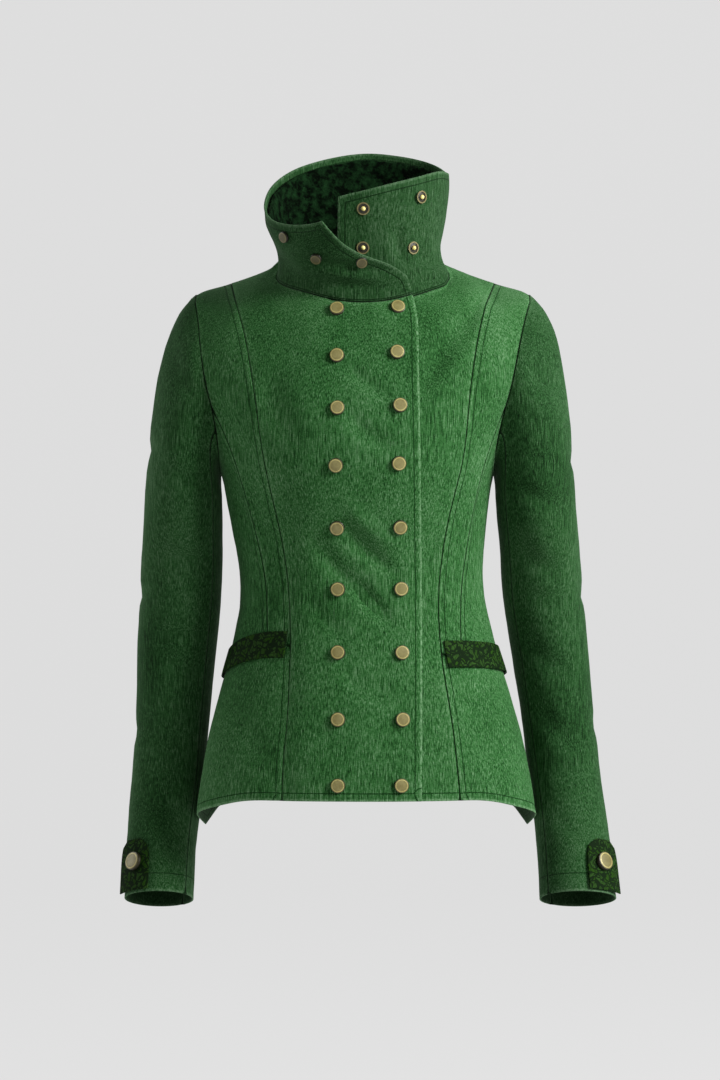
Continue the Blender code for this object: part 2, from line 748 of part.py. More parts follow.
def sleeve_ring(side, angle, z, off=0.0):
    """The sleeve round at this height of its middle line. The angle runs outside, front, inside, back."""
    label = side_name(side)
    inner, outer = SLEEVE.at(f"{label}_in", z), SLEEVE.at(f"{label}_out", z)
    half = np.abs(outer - inner) / 2 + off
    deep = SLEEVE.at("half_deep", z) + off
    tilt = radians(SLEEVE_TILT.at("degrees", z))
    across = half * np.cos(radians(angle))
    forward = deep * np.sin(radians(angle))
    x = (inner + outer) / 2 + side * across
    y = SLEEVE.at("y", z) - forward * np.cos(tilt)
    return np.stack([x, y, z + forward * np.sin(tilt)], axis=-1)


def armhole_point(side, angle):
    """The point of the armhole that faces this angle of the sleeve."""
    angle = np.mod(angle, 360)
    in_front = angle <= 180
    share = np.where(in_front, angle, 360 - angle) / 180
    front, behind = armhole_front(side, share), armhole_behind(side, share)
    turn = np.where(in_front, front[..., 0], behind[..., 0])
    z = np.where(in_front, front[..., 1], behind[..., 1])
    return body(turn, z)


def sleeve_cap(side, angle, share):
    """Between the armhole at share 0 and the whole round of the sleeve at share 1."""
    start, end = armhole_point(side, angle), sleeve_ring(side, angle, SLEEVE_TOP_Z + 0 * angle)
    far = np.linalg.norm(end - start, axis=-1, keepdims=True)
    around = np.mod(angle, 360)
    leave = np.stack(
        [
            side * CAP_LEAVES.at("out", around),
            -CAP_LEAVES.at("forward", around),
            CAP_LEAVES.at("up", around),
        ],
        axis=-1,
    )
    arrive = sleeve_ring(side, angle, SLEEVE_TOP_Z - 20 + 0 * angle) - end
    s = np.asarray(share)[..., None]
    return (
        (2 * s**3 - 3 * s**2 + 1) * start
        + (s**3 - 2 * s**2 + s) * far * unit(leave) * CAP_FULLNESS
        + (3 * s**2 - 2 * s**3) * end
        + (s**3 - s**2) * far * unit(arrive)
    )


def sleeve(side, angle, length, off=0.0):
    """A point of the sleeve. Length runs from 0 at the armhole to 1 at the full round and 2 at the cuff."""
    angle, length = np.broadcast_arrays(np.asarray(angle, float), np.asarray(length, float))

    def smooth_point(angle, length):
        z = SLEEVE_TOP_Z + (SLEEVE_END_Z - SLEEVE_TOP_Z) * np.clip(length - 1, 0, 1)
        cap = sleeve_cap(side, angle, np.clip(length, 0, 1))
        return np.where((length < 1)[..., None], cap, sleeve_ring(side, angle, z))

    point = smooth_point(angle, length)
    inside = np.clip(length, 0.01, 1.99)
    along = smooth_point(angle, inside + 0.01) - smooth_point(angle, inside - 0.01)
    round_it = smooth_point(angle + 1, inside) - smooth_point(angle - 1, inside)
    normal = side * unit(np.cross(round_it, along))
    height = off + 0 * point[..., 0]
    for fold_side, at, at_z, half_long, half_wide, slope, deep in SLEEVE_FOLDS:
        if fold_side != side:
            continue
        aside = np.mod(angle - at + 180, 360) - 180
        rise = point[..., 2] - at_z - slope * aside
        height = height + deep * np.exp(-((aside / half_long) ** 2) - (rise / half_wide) ** 2)
    fade = np.clip(length / FOLDS_FADE_LENGTH, 0, 1)
    return point + normal * ((height - off) * fade + off)[..., None]


def sleeves(denim, collection):
    lengths = np.array((CAP_SHARES + TUBE_SHARES)[::-1])
    first, last = TOP_SLEEVE_ARC
    for side in (-1, 1):
        for label, start, end in (("top", first, last), ("under", last, first + 360)):
            angles = spread(start, end, SLEEVE_COLUMNS[label])
            if side > 0:
                angles = angles[::-1]
            points = sleeve(side, angles[None, :], lengths[:, None])
            gaps = (SEAM_GAP, SEAM_GAP, 0.0, SLEEVE_TOP_GAP)
            cloth(f"sleeve_{label}_{side_name(side)}", points, CLOTH, denim, collection, gaps)


def collar_foot(turn):
    around = np.mod(turn + 180, 360) - 180
    lapped = np.asarray(turn) > 180
    z = neck_z(around)
    plain, over = body(around, z), body(around, z, lapped=True)
    return np.where(lapped[..., None], over, plain) + np.array([0, 0, COLLAR_LIFT])


def collar(turn, share):
    """A point of the collar's outer face: share 0 at the neckline and 1 at the rim."""
    turn, share = np.broadcast_arrays(np.asarray(turn, float), np.asarray(share, float))
    foot = collar_foot(turn)
    low, high, rim = (
        np.stack([COLLAR.at(f"{part}_{axis}", turn) for axis in "xyz"], axis=-1)
        for part in ("low", "high", "rim")
    )
    s = share[..., None]
    a, b = 1 / 3, 2 / 3
    return (
        foot * ((s - a) * (s - b) * (s - 1)) / (-a * b)
        + low * (s * (s - b) * (s - 1)) / (a * (a - b) * (a - 1))
        + high * (s * (s - a) * (s - 1)) / (b * (b - a) * (b - 1))
        + rim * (s * (s - a) * (s - b)) / ((1 - a) * (1 - b))
    )


def collar_turns(first, last, count):
    """Turns spaced evenly by distance round the collar a little above half its height."""
    fine = spread(first, last, 12 * count)
    middle = collar(fine, 0.6)
    walked = np.concatenate([[0], np.cumsum(np.linalg.norm(np.diff(middle, axis=0), axis=1))])
    return np.interp(np.linspace(0, walked[-1], count + 1), walked, fine)


def collar_pieces(denim, pile, collection):
    first, last = COLLAR.keys[0], COLLAR.keys[-1]
    turns = collar_turns(first, last, COLLAR_COLUMNS)
    shares = np.linspace(0, 1, COLLAR_ROWS)
    shell = collar(turns[None], shares[:, None])
    cloth("collar_shell", shell, COLLAR_CLOTH, denim, collection, (0, 0, SEAM_GAP, 0))
    starts = np.interp(turns, OVERLAP_LINING_TURNS, (LINING_FOOT, OVERLAP_LINING_FOOT))
    lining_shares = starts[None] + (LINING_TOP - starts[None]) * shares[:, None]
    points = collar(turns[None], lining_shares)
    up_it = collar(turns[None], lining_shares + 0.02) - collar(turns[None], lining_shares - 0.02)
    round_it = collar(turns[None] + 0.5, lining_shares) - collar(turns[None] - 0.5, lining_shares)
    points = points - unit(np.cross(round_it, up_it)) * (COLLAR_CLOTH + LINING_GAP)
    cloth("collar_lining", points, PILE, pile, collection, (LINING_END_GAP, LINING_END_GAP, 0, 0))


def turned(name, profile, point, out, material, collection):
    """A round piece turned from a profile, standing on a point with its axis out."""
    mesh = bpy.data.meshes.new(name)
    shape = bmesh.new()
    verts = [shape.verts.new((radius * MM, 0, height * MM)) for radius, height in profile]
    for one, other in zip(verts, verts[1:]):
        shape.edges.new((one, other))
    shape.to_mesh(mesh)
    shape.free()
    obj = place(name, mesh, material, collection)
    screw = obj.modifiers.new("turn", "SCREW")
    screw.steps = screw.render_steps = CAP_SIDES
    screw.use_merge_vertices = True
    screw.merge_threshold = 0.00001
    screw.use_smooth_shade = True
    rotation = Vector(out).to_track_quat("Z", "Y").to_matrix().to_4x4()
    obj.matrix_world = Matrix.Translation(Vector(point) * MM) @ rotation
    return obj


def cap_profile(radius, height):
    return ((0, height), (radius * 0.55, height * 0.88), (radius * 0.9, height * 0.45), (radius, 0), (0, 0))


def snaps(brass, collection):
    profile = cap_profile(CAP_RADIUS, CAP_HEIGHT)
    collar_profile = cap_profile(STUD_RADIUS, CAP_HEIGHT)
    upper_front = BVHTree.FromObject(bpy.data.objects["front_right"], bpy.context.evaluated_depsgraph_get())
    for number, (right_x, right_z, left_x, left_z) in enumerate(FRONT_CAPS, 1):
        seat(f"snap_right_{number}", profile, right_x, right_z, upper_front, brass, collection)
        seat(f"snap_left_{number}", profile, left_x, left_z, upper_front, brass, collection)
    for number, (turn, share) in enumerate(COLLAR_STUDS, 1):
        on_collar(f"collar_stud_{number}", STUD_PROFILE, turn, share, brass, collection)
    for number, (turn, share) in enumerate(COLLAR_CAPS, 1):
        on_collar(f"collar_cap_{number}", collar_profile, turn, share, brass, collection)


def seat(name, profile, x, z, carrier, material, collection):
    """A round piece on the carrier's faces, in front of it at this x and height."""
    hits = []
    near = 0.65 * CAP_RADIUS
    for aside, up in ((0, 0), (-near, 0), (near, 0), (0, -near), (0, near)):
        start = Vector((x + aside, -1000, z + up)) * MM
        hits.append(carrier.ray_cast(start, Vector((0, 1, 0)))[:2])
    out = sum((normal for _, normal in hits), Vector()).normalized()
    lift = max((point - hits[0][0]).dot(out) for point, _ in hits)
    point = hits[0][0] / MM + out * (lift / MM + SNAP_GAP)
    turned(name, profile, point, out, material, collection)


def on_collar(name, profile, turn, share, material, collection):
    up_it = collar(turn, share + 0.03) - collar(turn, share - 0.03)
    round_it = collar(turn + 1.0, share) - collar(turn - 1.0, share)
    out = unit(np.cross(round_it, up_it))
    turned(name, profile, collar(turn, share) + out * COLLAR_SNAP_GAP, out, material, collection)


def welts(brocade, collection):
    for side in (-1, 1):
        start = princess_turn(side, lambda turn: pocket_z(side, turn), WELT_FROM_SEAM)
        turns = spread(start, side * WELT_END_TURN, WELT_COLUMNS)
        heights = np.linspace(-WELT_DEEP / 2, WELT_DEEP / 2, WELT_ROWS)
        if side < 0:
            turns = turns[::-1]
        z = pocket_z(side, turns)[None] + heights[:, None]
        points = body(turns[None] + 0 * z, z, off=CLOTH + WELT_GAP)
        cloth(f"pocket_welt_{side_name(side)}", points, CLOTH, brocade, collection, (0,) * 4)


def cuff_tabs(brocade, brass, collection):
    lengths = np.array([length for length, _ in TAB_OUTLINE])
    widths = np.array([width for _, width in TAB_OUTLINE])
    across = np.linspace(-1, 1, TAB_COLUMNS)
    for side in (-1, 1):
        angles = TAB_ANGLE + across[None] * TAB_SPAN * widths[:, None]
        off = CLOTH + TAB_GAP + TAB_STANDS_OFF * np.clip((TAB_ANGLE - angles) / TAB_SPAN, 0, 1) ** 2
        points = sleeve(side, angles, lengths[:, None] + 0 * angles, off=off)
        if side > 0:
            points = points[:, ::-1]
        cloth(f"cuff_tab_{side_name(side)}", points, CLOTH, brocade, collection, (0,) * 4)
        seat_at = sleeve(side, CUFF_CAP_ANGLE, CUFF_CAP_LENGTH, off=CLOTH + TAB_GAP + COLLAR_SNAP_GAP)
        out = unit(seat_at - sleeve(side, CUFF_CAP_ANGLE, CUFF_CAP_LENGTH))
        profile = cap_profile(CUFF_CAP_RADIUS, CUFF_CAP_HEIGHT)
        turned(f"cuff_cap_{side_name(side)}", profile, seat_at, out, brass, collection)


def main():
    clear_scene()
    collection = bpy.data.collections.new("jacket")
    bpy.context.scene.collection.children.link(collection)
    denim = paint("green_denim", GREEN, 0.85)
    pile = paint("pile_lining", DARK_GREEN, 0.95)
    brocade = paint("brocade", BROCADE_GREEN, 0.6)
    brass = paint("antique_brass", BRASS, 0.4, 1.0)
    body_panels(denim, collection)
    sleeves(denim, collection)
    collar_pieces(denim, pile, collection)
    welts(brocade, collection)
    cuff_tabs(brocade, brass, collection)
    snaps(brass, collection)


main()
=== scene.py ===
"""Dresses the jacket: worn green denim with sewn seams and topstitching, pile, brocade and brass.

Metres, in the frame of the solids: +Z up, the front to -Y and the wearer's left to +X.
"""

import math

import bmesh
import bpy
import numpy as np
from bpy.props import FloatProperty, FloatVectorProperty, PointerProperty
from mathutils import Matrix, Vector, noise


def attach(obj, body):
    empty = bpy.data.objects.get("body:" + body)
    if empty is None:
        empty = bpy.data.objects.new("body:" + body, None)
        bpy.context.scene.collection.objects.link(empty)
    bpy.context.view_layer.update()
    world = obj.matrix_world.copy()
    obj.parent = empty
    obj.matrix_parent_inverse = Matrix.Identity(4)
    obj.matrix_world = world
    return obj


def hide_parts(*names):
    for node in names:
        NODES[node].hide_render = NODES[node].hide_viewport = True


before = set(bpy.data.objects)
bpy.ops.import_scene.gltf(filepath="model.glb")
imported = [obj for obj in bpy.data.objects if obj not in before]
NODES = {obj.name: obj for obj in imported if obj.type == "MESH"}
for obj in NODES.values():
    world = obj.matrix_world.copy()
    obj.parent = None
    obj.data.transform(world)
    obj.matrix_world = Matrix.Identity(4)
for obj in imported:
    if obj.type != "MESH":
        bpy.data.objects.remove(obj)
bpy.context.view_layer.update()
MM = 0.001
MERGE = 0.02 * MM
FAR = 90.0
CORNER = math.radians(28)

bl_info = {
    "name": "Jacket looks",
    "version": (1, 0, 0),
    "blender": (4, 5, 0),
    "location": "3D View > Sidebar > Jacket",
    "description": "Dresses the jacket's solids in denim, pile, brocade and brass",
    "category": "Object",
}

SIDES = ("left", "right")
BODY_PARTS = ("front", "side_front", "side", "skirt", "side_back", "back")
SLEEVE_PARTS = ("sleeve_top", "sleeve_under")
BODY_PIECES = [f"{part}_{side}" for part in BODY_PARTS for side in SIDES]
SLEEVE_PIECES = [f"{part}_{side}" for part in SLEEVE_PARTS for side in SIDES]
SEWN_PIECES = BODY_PIECES + SLEEVE_PIECES + ["collar_shell"]

# Topstitching: the piece, the piece it is sewn to or "free" for a free edge, how far in, and how it runs.
TOPSTITCHES = (
    ("side_front", "front", 7.2, "up"),
    ("skirt", "front", 7.2, "up"),
    ("side", "side_front", 6.5, "up"),
    ("side_back", "back", 7.0, "up"),
    ("front", "free edge", 7.4, "up"),
    ("front", "hem", 8.2, "round"),
    ("skirt", "hem", 8.2, "round"),
    ("side_back", "hem", 8.2, "round"),
    ("back", "hem", 8.2, "round"),
    ("sleeve_top", "hem", 20.0, "round"),
    ("sleeve_under", "hem", 20.0, "round"),
    ("collar_shell", "free edge", 7.6, "round"),
    ("collar_shell", "front", 2.2, "round"),
)

# Creases as soft troughs (depth below 0) and ridges: where they start and end as seen from one side,
# across and up in mm, with the pieces they cross, their half width and their depth.
CREASES = (
    ("front", "front_right", (-2, -50), (48, -54), 5, 1.0),
    ("front", "front_right", (-18, -108), (30, -142), 7, -1.6),
    ("front", "front_right", (-16, -160), (32, -196), 8, -1.8),
    ("front", "front_right", (-22, -274), (34, -326), 8, -2.6),
    ("front", "front_right", (-14, -258), (38, -300), 7, 1.4),
    ("front", "front_right", (-52, -292), (28, -374), 9, -2.2),
    ("front", "front_right", (-6, -334), (30, -380), 7, -1.6),
    ("front", "front_right", (-60, -345), (-20, -395), 8, -1.2),
    ("front", "front_right", (-20, -430), (30, -455), 11, -1.0),
    ("front", "front_right", (-100, -120), (-70, -190), 13, -1.4),
    ("front", "front_left", (128, -42), (66, -130), 12, -2.2),
    ("front", "front_left", (110, -90), (70, -150), 8, 1.2),
    ("front", "front_left", (90, -290), (64, -330), 9, -1.2),
    ("front", "side_front_right", (-150, -160), (-118, -206), 9, -1.6),
    ("front", "side_front_right", (-118, -230), (-100, -300), 9, -1.2),
    ("front", "side_right", (-140, -215), (-118, -285), 8, -1.5),
    ("front", "side_left", (138, -215), (120, -290), 8, -1.4),
    ("front", "skirt_right", (-150, -440), (-105, -520), 16, -1.4),
    ("front", "skirt_left", (110, -440), (150, -530), 15, -1.4),
    ("front", "sleeve_top_left", (178, -108), (212, -128), 9, -2.6),
    ("front", "sleeve_top_left", (182, -146), (212, -160), 7, 1.4),
    ("front", "sleeve_top_left", (176, -206), (206, -200), 3.2, -1.6),
    ("front", "sleeve_top_left", (162, -232), (220, -258), 9, -2.4),
    ("front", "sleeve_top_left", (168, -300), (214, -326), 11, -2.4),
    ("front", "sleeve_top_left", (176, -350), (222, -352), 9, -1.8),
    ("front", "sleeve_top_left", (176, -400), (226, -436), 10, -2.2),
    ("front", "sleeve_top_left", (190, -478), (238, -508), 11, -2.6),
    ("front", "sleeve_top_left", (200, -540), (246, -532), 9, -1.4),
    ("front", "sleeve_top_left", (206, -590), (244, -604), 8, -1.2),
    ("front", "sleeve_top_right", (-206, -80), (-182, -140), 10, -2.2),
    ("front", "sleeve_top_right", (-228, -200), (-180, -226), 9, -1.8),
    ("front", "sleeve_top_right", (-222, -300), (-172, -312), 9, -2.0),
    ("front", "sleeve_top_right", (-230, -386), (-168, -392), 4.0, -1.8),
    ("front", "sleeve_top_right", (-222, -410), (-172, -432), 10, -2.0),
    ("front", "sleeve_top_right", (-238, -486), (-188, -510), 10, -1.6),
    ("front", "sleeve_top_right", (-246, -566), (-196, -578), 9, -1.5),
    ("back", "back_left", (6, -250), (70, -282), 9, -1.8),
    ("back", "back_right", (-8, -262), (-66, -300), 9, -1.6),
    ("back", "back_left", (10, -318), (76, -334), 8, -1.6),
    ("back", "back_right", (-4, -336), (-70, -352), 8, -1.8),
    ("back", "side_back_left", (90, -226), (128, -262), 8, -1.4),
    ("back", "side_back_right", (-92, -240), (-126, -270), 8, -1.4),
    ("back", "back_left", (40, -60), (66, -140), 14, -1.5),
    ("back", "back_right", (-44, -66), (-62, -150), 13, -1.5),
    ("back", "sleeve_top_left", (180, -140), (226, -170), 10, -2.0),
    ("back", "sleeve_under_left", (160, -262), (226, -280), 10, -2.2),
    ("back", "sleeve_under_left", (170, -330), (232, -346), 9, -2.4),
    ("back", "sleeve_under_left", (176, -380), (236, -372), 8, -1.8),
    ("back", "sleeve_under_right", (-160, -250), (-222, -276), 10, -2.0),
    ("back", "sleeve_under_right", (-166, -322), (-230, -338), 9, -2.4),
    ("back", "sleeve_under_right", (-172, -366), (-232, -384), 8, -1.8),
    ("left", "sleeve_top_left", (-30, -196), (30, -214), 9, -1.6),
    ("left", "sleeve_top_left", (-10, -340), (60, -356), 9, -1.8),
    ("left", "sleeve_top_left", (0, -470), (60, -500), 10, -1.4),
    ("right", "sleeve_top_right", (-30, -186), (30, -200), 9, -1.6),
    ("right", "sleeve_top_right", (-10, -352), (60, -340), 9, -1.8),
    ("right", "sleeve_top_right", (0, -480), (60, -506), 10, -1.4),
    ("front", "collar_shell", (-70, 6), (24, -8), 4.5, -1.9),
    ("front", "collar_shell", (-60, -6), (34, -17), 4.0, 1.3),
    ("front", "collar_shell", (-72, -14), (10, -25), 4.5, -1.6),
    ("front", "collar_shell", (38, 38), (42, 4), 5.0, -2.2),
    ("front", "collar_shell", (58, 14), (84, 2), 6.0, -2.2),
    ("front", "collar_shell", (60, 4), (84, -8), 5.0, 1.2),
    ("back", "collar_shell", (-40, 30), (44, 26), 7, -1.4),
    ("back", "collar_shell", (-60, 74), (-20, 66), 8, -1.0),
)
# Swells of the cloth, ripples at the seams and tufts of the pile: how fine, and how high.
SWELLS = ((22, 0.9), (75, 0.3))
RIPPLES = (160, 0.8)
TUFTS = ((90, 0.55), (260, 0.45))
# Per side seen: the axis that runs across, the axis that points at the viewer, and its sign.
SEEN_FROM = {"front": (0, 1, -1), "back": (0, 1, 1), "left": (1, 0, 1), "right": (1, 0, -1)}


def length(name, description, default):
    return FloatProperty(name=name, description=description, default=default, unit="LENGTH")


def amount(name, description, default):
    return FloatProperty(name=name, description=description, default=default)


def colour_of(name, description, default):
    return FloatVectorProperty(name=name, description=description, default=default, subtype="COLOR")


class ClothSizes(bpy.types.PropertyGroup):
    wall: length("Wall", "Thickness of one layer of denim", 1.5 * MM)
    collar_wall: length("Collar wall", "Thickness of the collar's edge", 2.2 * MM)
    edge_round: length("Edge rounding", "Width of the rounding of a turned edge", 0.5 * MM)
    seam_reach: length("Seam reach", "How far apart two edges may be and still be sewn", 7.5 * MM)
    stitch_long: length("Stitch length", "Length of one topstitch", 3.2 * MM)
    crease_share: amount("Crease depth", "Share of the depth of the creases", 1.7)
    pile_deep: length("Pile depth", "Height of the tufts of the pile", 1.6 * MM)


class FinishColours(bpy.types.PropertyGroup):
    denim_dark: colour_of("Denim, dark", "Denim where the dye is full", (0.0030, 0.030, 0.0036))
    denim_mid: colour_of("Denim", "Denim all over", (0.0235, 0.101, 0.0235))
    denim_pale: colour_of("Denim, worn", "Denim on worn ridges and edges", (0.120, 0.228, 0.115))
    pile: colour_of("Pile", "Lining pile", (0.0025, 0.010, 0.003))
    brocade_ground: colour_of("Brocade ground", "Ground of the brocade", (0.0030, 0.0110, 0.0022))
    brocade_leaf: colour_of("Brocade leaf", "Woven leaves of the brocade", (0.020, 0.058, 0.009))
    brass: colour_of("Brass", "Aged brass", (0.90, 0.80, 0.30))
    backdrop: colour_of("Backdrop", "Floor and backdrop", (0.08, 0.08, 0.08))


class StageSizes(bpy.types.PropertyGroup):
    camera_away: length("Camera distance", "From the camera to the middle of the jacket", 3.5)
    seen_high: length("Height seen", "Height that the picture takes in at the neck", 1.1664)
    key_power: amount("Key light", "Power of the soft light at the right", 260.0)
    fill_power: amount("Fill light", "Power of the soft light in front", 12.0)
    rim_power: amount("Rim light", "Power of the soft light at the left", 22.0)
    sky: amount("Sky", "Strength of the light from all round", 0.10)
    glow: amount("Backdrop glow", "Light that the backdrop gives off", 0.68)


def settings(name):
    return getattr(bpy.context.scene, name)


def only(piece):
    """Makes this the one selected and active object."""
    bpy.ops.object.select_all(action="DESELECT")
    piece.select_set(True)
    bpy.context.view_layer.objects.active = piece


def points_of(mesh):
    points = np.empty(len(mesh.vertices) * 3, np.float32)
    mesh.vertices.foreach_get("co", points)
    return points.reshape(-1, 3).astype(float)


def put_points(mesh, points):
    mesh.vertices.foreach_set("co", points.astype(np.float32).ravel())
    mesh.update()


def normals_of(mesh):
    normals = np.empty(len(mesh.vertices) * 3, np.float32)
    mesh.vertex_normals.foreach_get("vector", normals)
    return normals.reshape(-1, 3).astype(float)


def part_of(name):
    """The piece's name without its side."""
    return name.rsplit("_", 1)[0] if name.endswith(SIDES) else name


def side_of(name):
    return name.rsplit("_", 1)[1] if name.endswith(SIDES) else ""


def sleeve_middles(side):
    """Heights, and the middle of the sleeve at each."""
    points = np.concatenate([points_of(NODES[f"{part}_{side}"].data) for part in SLEEVE_PARTS])
    heights = np.linspace(-0.66, -0.06, 16)
    middles = []
    for z in heights:
        near = points[np.abs(points[:, 2] - z) < 0.025]
        middles.append((near.min(axis=0) + near.max(axis=0))[:2] / 2)
    return heights, np.array(middles)


def middle_at(name, z):
    """The middle of the tube that this piece goes round, at each height."""
    z = np.asarray(z, float)
    if "sleeve" in name or "cuff" in name:
        heights, middles = sleeve_middles(side_of(name))
        return np.stack([np.interp(z, heights, middles[:, i]) for i in (0, 1)], axis=-1)
    return np.zeros(z.shape + (2,))


def quads_of(node, name):
    """A copy of a node's solid, welded and turned to quads, as its own piece."""
    piece = bpy.data.objects.new(name, NODES[node].data.copy())
    bpy.context.scene.collection.objects.link(piece)
    piece.data.materials.clear()
    only(piece)
    bpy.ops.mesh.customdata_custom_splitnormals_clear()
    bpy.ops.object.mode_set(mode="EDIT")
    bpy.ops.mesh.select_all(action="SELECT")
    bpy.ops.mesh.remove_doubles(threshold=MERGE)
    bpy.ops.mesh.tris_convert_to_quads(face_threshold=math.radians(50), shape_threshold=math.radians(70))
    bpy.ops.object.mode_set(mode="OBJECT")
    return piece


def outer_sheet(node, name):
    """The outer face of a node's wall as an open sheet of quads."""
    piece = quads_of(node, name)
    grid = bmesh.new()
    grid.from_mesh(piece.data)
    grid.faces.ensure_lookup_table()
    outside = outer_faces(grid, node)
    bmesh.ops.delete(grid, geom=[face for face in grid.faces if face not in outside], context="FACES")
    grid.to_mesh(piece.data)
    grid.free()
    return piece


def smooth_groups(grid, sharp):
    """The faces in groups that no edge sharper than this cuts."""
    left, groups = set(grid.faces), []
    while left:
        group, todo = set(), [left.pop()]
        while todo:
            face = todo.pop()
            group.add(face)
            for edge in face.edges:
                for other in edge.link_faces:
                    if other in left and edge.calc_face_angle(0) < sharp:
                        left.discard(other)
                        todo.append(other)
        groups.append(group)
    return groups


def outer_faces(grid, node):
    """Of the two large faces of a wall, between its sharp rims, the one that looks outwards."""
    def area(group):
        return sum(face.calc_area() for face in group)

    for sharp in (60, 50, 40, 32, 25):
        groups = sorted(smooth_groups(grid, math.radians(sharp)), key=area)
        if len(groups) > 1 and area(groups[-2]) > 0.8 * area(groups[-1]):
            break

    def outward(group):
        total = 0.0
        for face in group:
            centre = face.calc_center_median()
            middle = middle_at(node, centre.z)
            offset = Vector((centre.x - middle[0], centre.y - middle[1], 0))
            total += face.calc_area() * face.normal.dot(offset)
        return total

    return max(groups[-2:], key=outward)


def apply_modifier(piece, kind, **values):
    only(piece)
    modifier = piece.modifiers.new(kind.lower(), kind)
    for key, value in values.items():
        setattr(modifier, key, value)
    bpy.ops.object.modifier_apply(modifier=modifier.name)


def keep_corners(mesh):
    """Marks the corners of the sheet's edge, so that refining doesn't round them."""
    points, pairs = points_of(mesh), edge_lines(mesh)
    step = points[pairs[:, 1]] - points[pairs[:, 0]]
    step /= np.linalg.norm(step, axis=1)[:, None]
    bend = np.zeros(points.shape)
    np.add.at(bend, pairs[:, 0], step)
    np.add.at(bend, pairs[:, 1], -step)
    corner = np.linalg.norm(bend, axis=1) > 2 * math.sin(CORNER / 2)
    write_attribute(mesh, "crease_vert", corner.astype(float))


def refine(piece, levels):
    keep_corners(piece.data)
    apply_modifier(piece, "SUBSURF", levels=levels, render_levels=levels, boundary_smooth="PRESERVE_CORNERS")


def edge_lines(mesh):
    """The vertex pairs of the open sheet's edge."""
    count = np.zeros(len(mesh.edges), int)
    loops = np.empty(len(mesh.loops), np.int32)
    mesh.loops.foreach_get("edge_index", loops)
    np.add.at(count, loops, 1)
    pairs = np.empty(len(mesh.edges) * 2, np.int32)
    mesh.edges.foreach_get("vertices", pairs)
    return pairs.reshape(-1, 2)[count == 1]


def nearest_on_lines(points, starts, ends, normals=None):
    """Per point, the nearest point on these straight lines, and how far it is.

    With normals, lines in another layer, over or under the point, are passed by."""
    best, far = points.copy(), np.full(len(points), FAR * MM)
    for start, end in zip(starts, ends):
        step = end - start
        share = np.clip(((points - start) @ step) / max(step @ step, 1e-12), 0, 1)
        found = start + share[:, None] * step
        distance = np.linalg.norm(points - found, axis=1)
        nearer = distance < far
        if normals is not None:
            over = np.abs(((points - found) * normals).sum(axis=1))
            nearer &= over < np.maximum(0.35 * distance, 0.7 * MM)
        best[nearer], far[nearer] = found[nearer], distance[nearer]
    return best, far


def may_meet(one, other):
    """Pieces that are sewn together somewhere."""
    if one == other or {part_of(one), part_of(other)} == {"front"}:
        return False
    if "collar_shell" in (one, other):
        return {part_of(one), part_of(other)} & {"front", "back"} != set()
    return side_of(one) == side_of(other) or {part_of(one), part_of(other)} == {"back"}


def close_seams(sheets):
    """Brings edges that are sewn together to one line, and notes on each vertex which piece it meets."""
    reach = settings("jacket_cloth").seam_reach
    edges = {}
    for name, piece in sheets.items():
        points, pairs = points_of(piece.data), edge_lines(piece.data)
        edges[name] = points[pairs[:, 0]], points[pairs[:, 1]]
    names = list(sheets)
    for name, piece in sheets.items():
        points = points_of(piece.data)
        rim = np.unique(edge_lines(piece.data))
        best, far = points[rim].copy(), np.full(len(rim), reach)
        meets = np.full(len(points), -1)
        for index, other in enumerate(names):
            if not may_meet(name, other):
                continue
            found, distance = nearest_on_lines(points[rim], *edges[other])
            nearer = distance < far
            best[nearer], far[nearer] = found[nearer], distance[nearer]
            meets[rim[nearer]] = index
        points[rim] = (points[rim] + best) / 2
        put_points(piece.data, points)
        piece.data.attributes.new("meets", "INT", "POINT").data.foreach_set("value", meets.astype(np.int32))


def read_attribute(mesh, name, kind=np.float32):
    values = np.empty(len(mesh.vertices), kind)
    mesh.attributes[name].data.foreach_get("value", values)
    return values


def write_attribute(mesh, name, values):
    kind = "FLOAT_VECTOR" if values.ndim == 2 else "FLOAT"
    attribute = mesh.attributes.new(name, kind, "POINT")
    attribute.data.foreach_set("vector" if values.ndim == 2 else "value", values.astype(np.float32).ravel())


def hem_height(name):
    """Below this height a free edge of the piece is its hem."""
    return -0.64 if "sleeve" in name else -0.555


def mark_seams(piece, name):
    """Writes how far each vertex is from seams, free edges and topstitching, in mm."""
    mesh = piece.data
    points, normals, pairs = points_of(mesh), normals_of(mesh), edge_lines(mesh)
    meets = read_attribute(mesh, "meets", np.int32)
    sewn = (meets[pairs] >= 0).all(axis=1)
    low = (points[pairs][:, :, 2] < hem_height(name)).all(axis=1)

    def distance(chosen):
        if not chosen.any():
            return np.full(len(points), FAR)
        lines = points[pairs[chosen]]
        return nearest_on_lines(points, lines[:, 0], lines[:, 1], normals)[1] / MM

    write_attribute(mesh, "seam_mm", distance(sewn))
    write_attribute(mesh, "free_mm", distance(~sewn))
    across, along = np.full((len(points), 3), FAR), np.zeros((len(points), 3))
    middle = middle_at(name, points[:, 2])
    offset = points[:, :2] - middle
    radius = np.median(np.linalg.norm(offset, axis=1))
    slot = 0
    for part, against, inset, run in TOPSTITCHES:
        if part != part_of(name):
            continue
        if against == "hem":
            chosen = ~sewn & low
        elif against == "free edge":
            chosen = ~sewn & ~low
        else:
            wanted = [i for i, other in enumerate(SEWN_PIECES) if part_of(other) == against]
            chosen = np.isin(meets[pairs], wanted).all(axis=1)
        across[:, slot] = distance(chosen) - inset
        turned = np.arctan2(offset[:, 0], -offset[:, 1]) * radius
        along[:, slot] = (points[:, 2] if run == "up" else turned) / MM
        slot += 1
    write_attribute(mesh, "stitch_across", across)
    write_attribute(mesh, "stitch_along", along)


